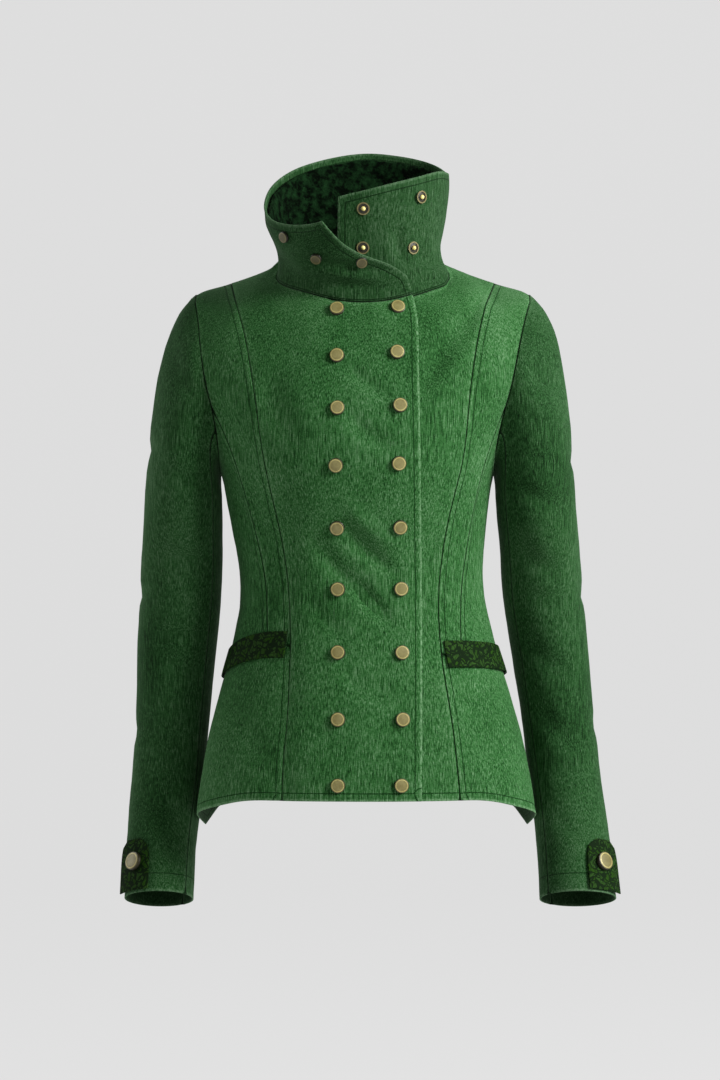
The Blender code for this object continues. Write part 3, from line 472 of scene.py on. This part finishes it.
def bumpiness(points, fine):
    """Smooth noise at these points, from -1 to 1."""
    return np.array([noise.noise(Vector(point) * fine) for point in points])


def from_seam(mesh, reach):
    """0 on the seams and free edges, where sheets must keep meeting, and 1 this many mm from them."""
    nearest = np.minimum(read_attribute(mesh, "seam_mm"), read_attribute(mesh, "free_mm"))
    share = np.clip(np.minimum(nearest, FAR).astype(float) / reach, 0, 1)
    return share * share * (3 - 2 * share)


def crease(piece, name):
    """Presses the piece's troughs and ridges into its sheet."""
    points, normals = points_of(piece.data), normals_of(piece.data)
    height = np.zeros(len(points))
    share_deep = settings("jacket_cloth").crease_share
    for facing, crossed, start, end, half_wide, deep in CREASES:
        if crossed != name:
            continue
        over, toward, sign = SEEN_FROM[facing]
        seen = points[:, (over, 2)] / MM
        step = np.subtract(end, start).astype(float)
        share = ((seen - start) @ step) / (step @ step)
        aside = (seen - start - share[:, None] * step) @ np.array([-step[1], step[0]]) / np.linalg.norm(step)
        aside = aside + half_wide * 0.5 * np.sin(share * math.pi)
        end_fade = np.exp(-((np.abs(share - 0.5) / 0.5) ** 4))
        faces = np.clip(normals[:, toward] * sign * 3, 0, 1)
        height += share_deep * deep * np.exp(-((aside / half_wide) ** 2)) * end_fade * faces
    for fine, high in SWELLS:
        height += bumpiness(points, fine) * high
    put_points(piece.data, points + normals * (height * from_seam(piece.data, 6.0) * MM)[:, None])


def pucker(piece):
    """Small ripples that sewing draws up beside the seams and stitching."""
    mesh = piece.data
    points, normals = points_of(mesh), normals_of(mesh)
    fine, high = RIPPLES
    away, spread, squeezed = 5, 5, (1, 1, 1.2)
    near = np.exp(-((np.minimum(read_attribute(mesh, "seam_mm"), FAR) - away) / spread) ** 2)
    ripple = bumpiness(points * squeezed, fine)
    put_points(mesh, points + normals * (near * ripple * from_seam(mesh, 2.5) * high * MM)[:, None])


def finish_cloth(piece, name, finishes, wall):
    mesh = piece.data
    for finish in finishes:
        mesh.materials.append(finish)
    apply_modifier(piece, "SOLIDIFY", thickness=wall, offset=-1, material_offset=len(finishes) - 1)
    apply_modifier(
        piece,
        "BEVEL",
        width=settings("jacket_cloth").edge_round,
        segments=2,
        limit_method="ANGLE",
        angle_limit=math.radians(60),
    )
    only(piece)
    bpy.ops.object.shade_smooth()
    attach(piece, "root")
    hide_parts(name)


def new_material(name):
    """An empty material that ends in one Principled shader, and its node tree."""
    material = bpy.data.materials.new(name)
    material.use_nodes = True
    return material, material.node_tree, material.node_tree.nodes["Principled BSDF"]


def put(node, **values):
    """Sets these sockets of a node; an underscore stands for a space."""
    for key, value in values.items():
        node.inputs[key.replace("_", " ")].default_value = value


def add(tree, kind, links=(), **values):
    """A node with these settings and socket values, and links from other nodes' sockets."""
    node = tree.nodes.new(kind)
    for key, value in values.items():
        if hasattr(node, key):
            setattr(node, key, value)
        else:
            put(node, **{key: value})
    for socket, source in links:
        tree.links.new(source, node.inputs[socket])
    return node


def maths(tree, operation, first, second=0.0, third=None):
    """A Math node on two or three sockets or numbers."""
    node = tree.nodes.new("ShaderNodeMath")
    node.operation = operation
    for index, value in enumerate((first, second, third)):
        if value is None:
            continue
        if isinstance(value, (int, float)):
            node.inputs[index].default_value = value
        else:
            tree.links.new(value, node.inputs[index])
    return node.outputs[0]


def band(tree, value, low, high):
    """1 where the value is below low, 0 above high, smooth between."""
    node = tree.nodes.new("ShaderNodeMapRange")
    node.interpolation_type = "SMOOTHSTEP"
    for index, number in enumerate((low, high, 1.0, 0.0), 1):
        node.inputs[index].default_value = number
    tree.links.new(value, node.inputs[0])
    return node.outputs[0]


def speckle(tree, position, stretch, scale, detail=3.0, roughness=0.55):
    """Noise stretched along the axes, from 0 to 1."""
    mapping = add(tree, "ShaderNodeMapping", [("Vector", position)], Scale=stretch)
    place = [("Vector", mapping.outputs[0])]
    return add(tree, "ShaderNodeTexNoise", place, Scale=scale, Detail=detail, Roughness=roughness).outputs[0]


def bump_of(tree, height, strength, deep, over=None):
    """The normal of a bump this deep in metres, which may lie over another bump's normal."""
    links = [("Height", height)] if over is None else [("Height", height), ("Normal", over)]
    return add(tree, "ShaderNodeBump", links, Strength=strength, Distance=deep).outputs[0]


def blend(tree, share, first, second):
    """A colour between two colours or sockets."""
    node = tree.nodes.new("ShaderNodeMix")
    node.data_type = "RGBA"
    tree.links.new(share, node.inputs[0])
    for index, value in ((6, first), (7, second)):
        if isinstance(value, bpy.types.NodeSocket):
            tree.links.new(value, node.inputs[index])
        else:
            node.inputs[index].default_value = (*value, 1)
    return node.outputs[2]


def denim(name, shade=1.0):
    """Green-dyed denim: slubs down the cloth, mottled dye, pale worn ridges, dark seams and topstitching,
    painted shade along the topstitch grooves, and every colour multiplied by the shade factor, which below 1
    is painted shade.
    """
    colours, sizes = settings("jacket_colours"), settings("jacket_cloth")
    material, tree, shader = new_material(name)
    position = add(tree, "ShaderNodeTexCoord").outputs["Object"]
    slubs = speckle(tree, position, (1, 1, 0.04), 1150, 1, 0.5)
    fine_slubs = speckle(tree, position, (1, 1, 0.16), 1700, 1, 0.5)
    weft = speckle(tree, position, (0.2, 0.2, 1), 1500, 1, 0.5)
    patches = speckle(tree, position, (1, 1, 0.6), 9, 2, 0.5)
    blotches = speckle(tree, position, (1, 1, 0.5), 32, 2, 0.5)
    grain = speckle(tree, position, (1, 1, 1), 1200, 1, 0.5)
    seam = add(tree, "ShaderNodeAttribute", attribute_name="seam_mm").outputs["Fac"]
    free = add(tree, "ShaderNodeAttribute", attribute_name="free_mm").outputs["Fac"]
    across = add(tree, "ShaderNodeSeparateXYZ")
    along = add(tree, "ShaderNodeSeparateXYZ")
    for node, attribute in ((across, "stitch_across"), (along, "stitch_along")):
        stitched = add(tree, "ShaderNodeAttribute", attribute_name=attribute)
        tree.links.new(stitched.outputs["Vector"], node.inputs[0])

    tone = 0.5
    for source, weight in (
        (slubs, 1.10),
        (fine_slubs, 0.60),
        (weft, 0.34),
        (patches, 0.46),
        (blotches, 0.20),
        (grain, 0.28),
    ):
        tone = maths(tree, "MULTIPLY_ADD", maths(tree, "SUBTRACT", source, 0.5), weight, tone)
    worn_noise = maths(tree, "MULTIPLY_ADD", speckle(tree, position, (1, 1, 1), 260, 3), 1.6, -0.35)
    beside_seam = maths(tree, "SUBTRACT", 1.0, band(tree, seam, 0.9, 1.7))
    seam_ridge = maths(tree, "MULTIPLY", band(tree, seam, 2.0, 6.0), beside_seam)
    seam_wear = maths(tree, "MULTIPLY", seam_ridge, 0.17)
    edge_wear = maths(tree, "MULTIPLY", band(tree, free, 1.0, 3.6), 0.62)
    tone = maths(tree, "MULTIPLY_ADD", maths(tree, "MAXIMUM", seam_wear, edge_wear), worn_noise, tone)
    seam_dark = band(tree, seam, 0.15, 0.85)

    thread, groove = 0.0, 0.0
    pitch = sizes.stitch_long / MM
    for axis in range(3):
        aside = maths(tree, "ABSOLUTE", across.outputs[axis])
        place = maths(tree, "FRACT", maths(tree, "DIVIDE", along.outputs[axis], pitch))
        dash = band(tree, maths(tree, "ABSOLUTE", maths(tree, "SUBTRACT", place, 0.5)), 0.36, 0.46)
        stitch = maths(tree, "MULTIPLY", band(tree, aside, 0.30, 0.55), dash)
        thread = maths(tree, "MAXIMUM", thread, stitch)
        groove = maths(tree, "MAXIMUM", groove, band(tree, aside, 0.1, 1.0))
    # Painted shade: the cloth darkened along the topstitch grooves, where shade falls; the same groove mask
    # also presses them in as a bump further down.
    tone = maths(tree, "MULTIPLY_ADD", groove, -0.26, tone)
    tone = maths(tree, "MULTIPLY_ADD", seam_dark, -0.75, tone)

    # The shade factor multiplies every colour of the ramp and the thread; below 1 it is painted shade for the
    # sleeves, the collar and the inner faces.
    ramp = add(tree, "ShaderNodeValToRGB", [("Fac", tone)])
    ramp.color_ramp.elements[0].position, ramp.color_ramp.elements[1].position = 0.02, 0.98
    ramp.color_ramp.elements[0].color = (*(c * shade * 0.5 for c in colours.denim_dark), 1)
    ramp.color_ramp.elements[1].color = (*(c * shade for c in colours.denim_pale), 1)
    for place, colour in ((0.26, colours.denim_dark), (0.55, colours.denim_mid)):
        ramp.color_ramp.elements.new(place).color = (*(c * shade for c in colour), 1)
    thread_colour = [c * shade * 1.1 for c in colours.denim_dark]
    colour = blend(tree, thread, ramp.outputs[0], thread_colour)
    tree.links.new(colour, shader.inputs["Base Color"])
    put(shader, Roughness=0.88, Specular_IOR_Level=0.10)
    put(shader, Sheen_Weight=0.12, Sheen_Roughness=0.45, Sheen_Tint=(0.42, 0.8, 0.42, 1))

    weave = maths(tree, "ADD", maths(tree, "ADD", fine_slubs, weft), maths(tree, "MULTIPLY", slubs, 1.2))
    cloth = bump_of(tree, weave, 0.35, 0.25 * MM)
    relief = maths(tree, "MULTIPLY_ADD", groove, -0.55, maths(tree, "MULTIPLY", thread, 0.5))
    relief = maths(tree, "MULTIPLY_ADD", band(tree, seam, 0.1, 1.4), -1.0, relief)
    tree.links.new(bump_of(tree, relief, 0.8, 0.9 * MM, cloth), shader.inputs["Normal"])
    return material


def pile_finish():
    """Short dark pile in soft clumps."""
    colours = settings("jacket_colours")
    material, tree, shader = new_material("pile")
    position = add(tree, "ShaderNodeTexCoord").outputs["Object"]
    clumps = speckle(tree, position, (1, 1, 1), 110, 4, 0.7)
    hairs = speckle(tree, position, (1, 1, 0.4), 1600, 2, 0.6)
    hairy = maths(tree, "MULTIPLY", hairs, 0.5)
    share = maths(tree, "MULTIPLY_ADD", maths(tree, "SUBTRACT", clumps, 0.48), 4.5, hairy)
    share = maths(tree, "MAXIMUM", share, 0.0)
    pale = [c * 2.4 for c in colours.pile]
    dark = [c * 0.2 for c in colours.pile]
    tree.links.new(blend(tree, share, dark, pale), shader.inputs["Base Color"])
    put(shader, Roughness=0.95, Specular_IOR_Level=0.03)
    put(shader, Sheen_Weight=0.03, Sheen_Roughness=0.35, Sheen_Tint=(0.25, 0.5, 0.25, 1))
    nap = maths(tree, "ADD", maths(tree, "MULTIPLY", clumps, 2.0), hairs)
    tree.links.new(bump_of(tree, nap, 0.9, 1.2 * MM), shader.inputs["Normal"])
    return material


def brocade_finish():
    """Dark brocade with a woven ground and raised leaves."""
    colours = settings("jacket_colours")
    material, tree, shader = new_material("woven_brocade")
    position = add(tree, "ShaderNodeTexCoord").outputs["Object"]
    leaves = 135
    warp = add(tree, "ShaderNodeTexNoise", [("Vector", position)], Scale=90, Detail=1.0)
    shift = add(tree, "ShaderNodeVectorMath", [(0, warp.outputs["Color"])], operation="SCALE", Scale=0.022)
    moved = add(tree, "ShaderNodeVectorMath", [(0, position), (1, shift.outputs[0])], operation="ADD")
    bent = [("Vector", moved.outputs[0])]
    cells = add(tree, "ShaderNodeTexVoronoi", bent, Scale=leaves)
    borders = add(tree, "ShaderNodeTexVoronoi", bent, feature="DISTANCE_TO_EDGE", Scale=leaves)
    leaf = maths(tree, "SUBTRACT", 1.0, band(tree, borders.outputs["Distance"], 0.10, 0.18))
    veins = add(tree, "ShaderNodeTexWave", bent, Scale=160, Distortion=5.0)
    vein = band(tree, veins.outputs["Fac"], 0.30, 0.5)
    thread = speckle(tree, position, (1, 1, 0.3), 1500, 2)
    leaf = maths(tree, "MULTIPLY", leaf, maths(tree, "MULTIPLY_ADD", vein, -0.55, 1.0))
    kind = add(tree, "ShaderNodeSeparateColor", [("Color", cells.outputs["Color"])])
    olive = [c * share for c, share in zip(colours.brocade_leaf, (0.75, 0.9, 0.35))]
    leaf_colour = blend(tree, band(tree, kind.outputs[0], 0.35, 0.5), tuple(colours.brocade_leaf), olive)
    share = maths(tree, "MULTIPLY", leaf, maths(tree, "MULTIPLY_ADD", thread, 0.9, 0.45))
    colour = blend(tree, share, tuple(colours.brocade_ground), leaf_colour)
    tree.links.new(colour, shader.inputs["Base Color"])
    put(shader, Roughness=0.8, Specular_IOR_Level=0.06)
    relief = maths(tree, "MULTIPLY_ADD", thread, 0.35, leaf)
    tree.links.new(bump_of(tree, relief, 0.7, 0.5 * MM), shader.inputs["Normal"])
    return material


def brass_finish(name, shade=1.0):
    """Aged brass, browned in blotches and rubbed bright; painted near black as painted shade where the
    painted shade mask is high, and multiplied by the shade factor, which below 1 is painted shade.
    """
    colours = settings("jacket_colours")
    material, tree, shader = new_material(name)
    position = add(tree, "ShaderNodeTexCoord").outputs["Object"]
    age = speckle(tree, position, (1, 1, 1), 150, 4, 0.6)
    scratches = speckle(tree, position, (1, 1, 0.08), 1400, 2, 0.6)
    painted_shade_mask = add(tree, "ShaderNodeAttribute", attribute_name="painted_shade_mask").outputs["Fac"]
    bright = [c * shade for c in colours.brass]
    brown = [c * share for c, share in zip(bright, (0.66, 0.62, 0.50))]
    black = [c * 0.02 for c in bright]
    rubbed = band(tree, maths(tree, "MULTIPLY_ADD", scratches, 0.3, age), 0.40, 0.95)
    colour = blend(tree, rubbed, brown, bright)
    # Painted shade: the brass blended towards near black by the painted shade mask.
    tree.links.new(blend(tree, painted_shade_mask, colour, black), shader.inputs["Base Color"])
    put(shader, Metallic=0.15)
    tree.links.new(maths(tree, "MULTIPLY_ADD", age, 0.18, 0.28), shader.inputs["Roughness"])
    tree.links.new(bump_of(tree, scratches, 0.2, 0.1 * MM), shader.inputs["Normal"])
    return material


FINISHES = {
    "denim": lambda: denim("denim"),
    # Painted shade: the sleeves' denim multiplied darker, for the shade that falls on the arms.
    "denim_sleeve_painted_shade": lambda: denim("denim_sleeve_painted_shade", 0.60),
    # Painted shade: the collar's denim multiplied darker, for the shade that falls on the collar.
    "denim_collar_painted_shade": lambda: denim("denim_collar_painted_shade", 0.48),
    # Painted shade: the cloth's inner faces multiplied nearly black, for the shade inside the jacket and its
    # cuffs.
    "denim_inside_painted_shade": lambda: denim("denim_inside_painted_shade", 0.28),
    "pile": pile_finish,
    "woven_brocade": brocade_finish,
    "aged_brass": lambda: brass_finish("aged_brass"),
    # Painted shade: the collar caps' brass multiplied darker, for the shade they sit in.
    "brass_painted_shade": lambda: brass_finish("brass_painted_shade", 0.4),
}


def finish(name):
    """The material of this name, made the first time it is asked for."""
    return bpy.data.materials.get(name) or FINISHES[name]()


class JACKET_OT_cut(bpy.types.Operator):
    """Cut the denim sheets to the solids' outer faces and bring their sewn edges together"""

    bl_idname = "jacket.cut"
    bl_label = "Cut the denim"

    def execute(self, context):
        sheets = {}
        for name in SEWN_PIECES:
            piece = outer_sheet(name, f"{name}_cloth")
            refine(piece, 2)
            sheets[name] = piece
        close_seams(sheets)
        return {"FINISHED"}


def sew(names, finishes, wall):
    for name in names:
        piece = bpy.data.objects[f"{name}_cloth"]
        mark_seams(piece, name)
        crease(piece, name)
        pucker(piece)
        finish_cloth(piece, name, [finish(item) for item in finishes], wall)


class JACKET_OT_body(bpy.types.Operator):
    """Sew the body of the jacket from its panels"""

    bl_idname = "jacket.body"
    bl_label = "Sew the body"

    def execute(self, context):
        sew(BODY_PIECES, ("denim", "denim_inside_painted_shade"), settings("jacket_cloth").wall)
        return {"FINISHED"}


class JACKET_OT_sleeves(bpy.types.Operator):
    """Sew the two-piece sleeves"""

    bl_idname = "jacket.sleeves"
    bl_label = "Sew the sleeves"

    def execute(self, context):
        sew(SLEEVE_PIECES, ("denim_sleeve_painted_shade", "denim_inside_painted_shade"), settings("jacket_cloth").wall)
        return {"FINISHED"}


class JACKET_OT_collar(bpy.types.Operator):
    """Sew the standing collar and line it with pile"""

    bl_idname = "jacket.collar"
    bl_label = "Sew the collar"

    def execute(self, context):
        sew(["collar_shell"], ("denim_collar_painted_shade",), settings("jacket_cloth").collar_wall)
        piece = quads_of("collar_lining", "collar_pile")
        refine(piece, 3)
        deep = settings("jacket_cloth").pile_deep
        points, normals = points_of(piece.data), normals_of(piece.data)
        tufts = sum(bumpiness(points, fine) * high for fine, high in TUFTS)
        put_points(piece.data, points + normals * (tufts * deep)[:, None])
        piece.data.materials.append(finish("pile"))
        bpy.ops.object.shade_smooth()
        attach(piece, "root")
        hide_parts("collar_lining")
        return {"FINISHED"}


def trim(node, levels):
    """A brocade piece on its solid's outer face."""
    piece = outer_sheet(node, f"{node}_brocade")
    refine(piece, levels)
    finish_cloth(piece, node, [finish("woven_brocade")], settings("jacket_cloth").wall)


class JACKET_OT_welts(bpy.types.Operator):
    """Lay the brocade welts over the pocket line"""

    bl_idname = "jacket.welts"
    bl_label = "Lay the pocket welts"

    def execute(self, context):
        for side in SIDES:
            trim(f"pocket_welt_{side}", 3)
        return {"FINISHED"}


class JACKET_OT_cuff_tabs(bpy.types.Operator):
    """Lay the brocade tabs at the cuffs"""

    bl_idname = "jacket.cuff_tabs"
    bl_label = "Lay the cuff tabs"

    def execute(self, context):
        for side in SIDES:
            trim(f"cuff_tab_{side}", 2)
        return {"FINISHED"}


def choose(piece, kind, test):
    """Selects, in edit mode, the faces or edges of which this test of their points holds."""
    bpy.ops.object.mode_set(mode="EDIT")
    bpy.ops.mesh.select_mode(type=kind)
    bpy.ops.mesh.select_all(action="DESELECT")
    bpy.ops.object.mode_set(mode="OBJECT")
    mesh = piece.data
    for item in mesh.polygons if kind == "FACE" else mesh.edges:
        item.select = test([mesh.vertices[index].co for index in item.vertices])
    bpy.ops.object.mode_set(mode="EDIT")


def above(height):
    return lambda points: all(point.z > height for point in points)


def dome(piece, height, steps):
    """Insets the top face again and again, each time by this much, and lifts it by this much."""
    choose(piece, "FACE", above(height))
    for inset, lift in steps:
        bpy.ops.mesh.inset(thickness=inset, use_even_offset=True)
        bpy.ops.transform.translate(value=(0, 0, lift))
    bpy.ops.object.mode_set(mode="OBJECT")


def rimmed_disc(radius, height, rounding):
    """A disc with a rolled upper rim, standing on the origin."""
    bpy.ops.object.select_all(action="DESELECT")
    bpy.ops.mesh.primitive_cylinder_add(vertices=36, radius=radius, depth=height, location=(0, 0, height / 2))
    piece = bpy.context.object
    bpy.ops.object.transform_apply(location=True, rotation=True, scale=True)
    choose(piece, "EDGE", above(height * 0.9))
    bpy.ops.mesh.bevel(offset=rounding, segments=4, affect="EDGES")
    bpy.ops.object.mode_set(mode="OBJECT")
    return piece


def darken(piece, painted_shade_mask):
    """Writes the painted shade: the share, from this function of the reach from the middle and the height, by
    which the brass is painted near black.
    """
    points = points_of(piece.data)
    write_attribute(piece.data, "painted_shade_mask", painted_shade_mask(np.hypot(points[:, 0], points[:, 1]), points[:, 2]))


def cap(radius, height):
    """A domed cap with a rolled rim, painted darker from its middle outwards and near black round its foot as
    painted shade.
    """
    piece = rimmed_disc(radius, height, height * 0.35)
    steps = ((0.12, 0.26), (0.18, 0.24), (0.24, 0.16), (0.22, 0.04))
    dome(piece, height * 0.95, [(radius * inward, height * up) for inward, up in steps])
    # Painted shade: darker from the middle outwards, near black at the foot, for the dome's shading and the
    # shadow round it.
    darken(piece, lambda reach, z: np.clip((reach / radius - 0.35) / 0.60, 0, 1) ** 2.6)
    return piece


def stud(radius):
    """A flanged ring round a groove, with a small ball in the middle."""
    flange = 1.3 * MM
    piece = rimmed_disc(radius, flange, flange * 0.4)
    steps = ((0.08, 0.0), (0.22, 0.2), (0.14, -0.8))
    dome(piece, flange * 0.95, [(radius * inward, flange * up) for inward, up in steps])
    bpy.ops.object.mode_set(mode="EDIT")
    bpy.ops.mesh.select_all(action="DESELECT")
    bpy.ops.mesh.primitive_uv_sphere_add(segments=20, ring_count=12, radius=2.5 * MM, location=(0, 0, flange))
    bpy.ops.object.mode_set(mode="OBJECT")
    # Painted shade: the groove and the foot of the flange painted near black.
    rings = ((0.42, 0.16), (0.98, 0.19))
    darken(
        piece,
        lambda reach, z: sum(np.clip(1.4 - np.abs(reach / radius - at) / wide, 0, 1) for at, wide in rings)
        * (z < flange * 1.3),
    )
    return piece


def standing_place(node):
    """Where a round node stands: the middle of its flat face and the way its domed face looks."""
    points = np.unique(points_of(NODES[node].data).round(6), axis=0)
    middle = points.mean(axis=0)
    axis = np.linalg.svd(points - middle, full_matrices=False)[2][2]
    height = (points - middle) @ axis
    ends = [points[height < height.min() + 0.1 * MM], points[height > height.max() - 0.1 * MM]]
    foot, top = sorted(ends, key=lambda end: -np.ptp(end, axis=0).max())
    axis = top.mean(axis=0) - foot.mean(axis=0)
    return foot.mean(axis=0), axis / np.linalg.norm(axis)


def fasten(model, node, sink, finish_name):
    """A copy of the model standing where the node stands."""
    place, axis = standing_place(node)
    copy = model.data.copy()
    turn = Vector(axis).to_track_quat("Z", "Y").to_matrix().to_4x4()
    copy.transform(Matrix.Translation(Vector(place - axis * sink)) @ turn)
    piece = bpy.data.objects.new(f"{node}_brass", copy)
    bpy.context.scene.collection.objects.link(piece)
    copy.materials.clear()
    copy.materials.append(finish(finish_name))
    only(piece)
    bpy.ops.object.shade_smooth_by_angle(angle=math.radians(40))
    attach(piece, "root")
    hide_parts(node)


class JACKET_OT_snaps(bpy.types.Operator):
    """Set the brass caps and studs"""

    bl_idname = "jacket.snaps"
    bl_label = "Set the snaps"

    def execute(self, context):
        models = {
            "snap_": cap(7.6 * MM, 2.3 * MM),
            "cuff_cap_": cap(9.8 * MM, 2.6 * MM),
            "collar_cap_": cap(6.0 * MM, 1.8 * MM),
            "collar_stud_": stud(6.2 * MM),
        }
        for node in sorted(NODES):
            for start, model in models.items():
                if node.startswith(start):
                    # The collar's caps take the brass with painted shade.
                    finish_name = "brass_painted_shade" if start == "collar_cap_" else "aged_brass"
                    fasten(model, node, 0.9 * MM, finish_name)
        for model in models.values():
            bpy.data.objects.remove(model, do_unlink=True)
        return {"FINISHED"}


def area_light(name, place, aim, size, power):
    light = bpy.data.lights.new(name, "AREA")
    light.shape = "RECTANGLE"
    light.size, light.size_y = size
    light.energy = power
    lamp = bpy.data.objects.new(name, light)
    lamp.location = place
    lamp.rotation_euler = (Vector(aim) - Vector(place)).to_track_quat("-Z", "Y").to_euler()
    bpy.context.scene.collection.objects.link(lamp)


class JACKET_OT_stage(bpy.types.Operator):
    """Set the plain floor and backdrop, the soft lights and the camera"""

    bl_idname = "jacket.stage"
    bl_label = "Set the stage"

    def execute(self, context):
        stage, colours = settings("jacket_stage"), settings("jacket_colours")
        floor_z, wall_y = -1.05, 5.6
        wide, deep, high, cove = 22.0, 16.0, 9.0, 2.0
        bpy.ops.object.select_all(action="DESELECT")
        bpy.ops.mesh.primitive_plane_add(size=1, location=(0, wall_y - deep / 2, floor_z))
        floor = bpy.context.object
        floor.name = "floor"
        floor.scale = (wide, deep, 1)
        bpy.ops.object.transform_apply(location=True, rotation=True, scale=True)
        choose(floor, "EDGE", lambda points: all(point.y > wall_y - MM for point in points))
        bpy.ops.mesh.extrude_region_move(TRANSFORM_OT_translate={"value": (0, 0, high)})
        foot = (wall_y - MM, floor_z + MM)
        choose(floor, "EDGE", lambda points: all(p.y > foot[0] and p.z < foot[1] for p in points))
        bpy.ops.mesh.bevel(offset=cove, segments=16, affect="EDGES")
        bpy.ops.object.mode_set(mode="OBJECT")
        material, tree, shader = new_material("backdrop")
        position = add(tree, "ShaderNodeTexCoord").outputs["Object"]
        tint = speckle(tree, position, (1, 1, 1), 2.0, 2)
        paler = [min(c * 1.01, 1) for c in colours.backdrop]
        tree.links.new(blend(tree, tint, tuple(colours.backdrop), paler), shader.inputs["Base Color"])
        put(shader, Roughness=0.95, Specular_IOR_Level=0.0)
        put(shader, Emission_Color=(1, 1, 1, 1), Emission_Strength=stage.glow)
        floor.data.materials.append(material)
        bpy.ops.object.shade_smooth()

        world = bpy.data.worlds.new("soft light")
        world.use_nodes = True
        put(world.node_tree.nodes["Background"], Color=(1, 1, 1, 1), Strength=stage.sky)
        context.scene.world = world
        middle = (-0.00324, 0.0, -0.2916)
        area_light("key", (2.9, -1.6, 1.4), middle, (1.3, 1.8), stage.key_power)
        area_light("fill", (0.3, -3.2, 0.9), middle, (1.8, 1.8), stage.fill_power)
        area_light("rim", (-2.4, 0.3, 0.5), middle, (1.2, 1.8), stage.rim_power)

        camera_data = bpy.data.cameras.new("camera")
        camera_data.sensor_width = 36.0
        camera_data.lens = camera_data.sensor_width * stage.camera_away / stage.seen_high
        camera_data.clip_end = 60.0
        camera = bpy.data.objects.new("camera", camera_data)
        camera.location = (middle[0], middle[1] - stage.camera_away, middle[2])
        camera.rotation_euler = (math.radians(90), 0, 0)
        context.scene.collection.objects.link(camera)
        context.scene.camera = camera
        context.scene.view_settings.view_transform = "Standard"
        return {"FINISHED"}


STEPS = (
    JACKET_OT_cut,
    JACKET_OT_body,
    JACKET_OT_sleeves,
    JACKET_OT_collar,
    JACKET_OT_welts,
    JACKET_OT_cuff_tabs,
    JACKET_OT_snaps,
    JACKET_OT_stage,
)


class JACKET_PT_tools(bpy.types.Panel):
    """The jacket's pieces in the order they are made"""

    bl_idname = "JACKET_PT_tools"
    bl_label = "Jacket"
    bl_space_type = "VIEW_3D"
    bl_region_type = "UI"
    bl_category = "Jacket"

    def draw(self, context):
        for step in STEPS:
            self.layout.operator(step.bl_idname)
        for group in GROUPS:
            values = getattr(context.scene, group)
            for name in values.bl_rna.properties.keys():
                if name not in {"rna_type", "name"}:
                    self.layout.prop(values, name)


GROUPS = {"jacket_cloth": ClothSizes, "jacket_colours": FinishColours, "jacket_stage": StageSizes}
CLASSES = (*GROUPS.values(), *STEPS, JACKET_PT_tools)


def register():
    for item in CLASSES:
        bpy.utils.register_class(item)
    for name, group in GROUPS.items():
        setattr(bpy.types.Scene, name, PointerProperty(type=group))


def unregister():
    for name in GROUPS:
        delattr(bpy.types.Scene, name)
    for item in reversed(CLASSES):
        bpy.utils.unregister_class(item)


def main():
    register()
    bpy.ops.jacket.cut()
    bpy.ops.jacket.body()
    bpy.ops.jacket.sleeves()
    bpy.ops.jacket.collar()
    bpy.ops.jacket.welts()
    bpy.ops.jacket.cuff_tabs()
    bpy.ops.jacket.snaps()
    bpy.ops.jacket.stage()


if __name__ == "__main__":
    main()
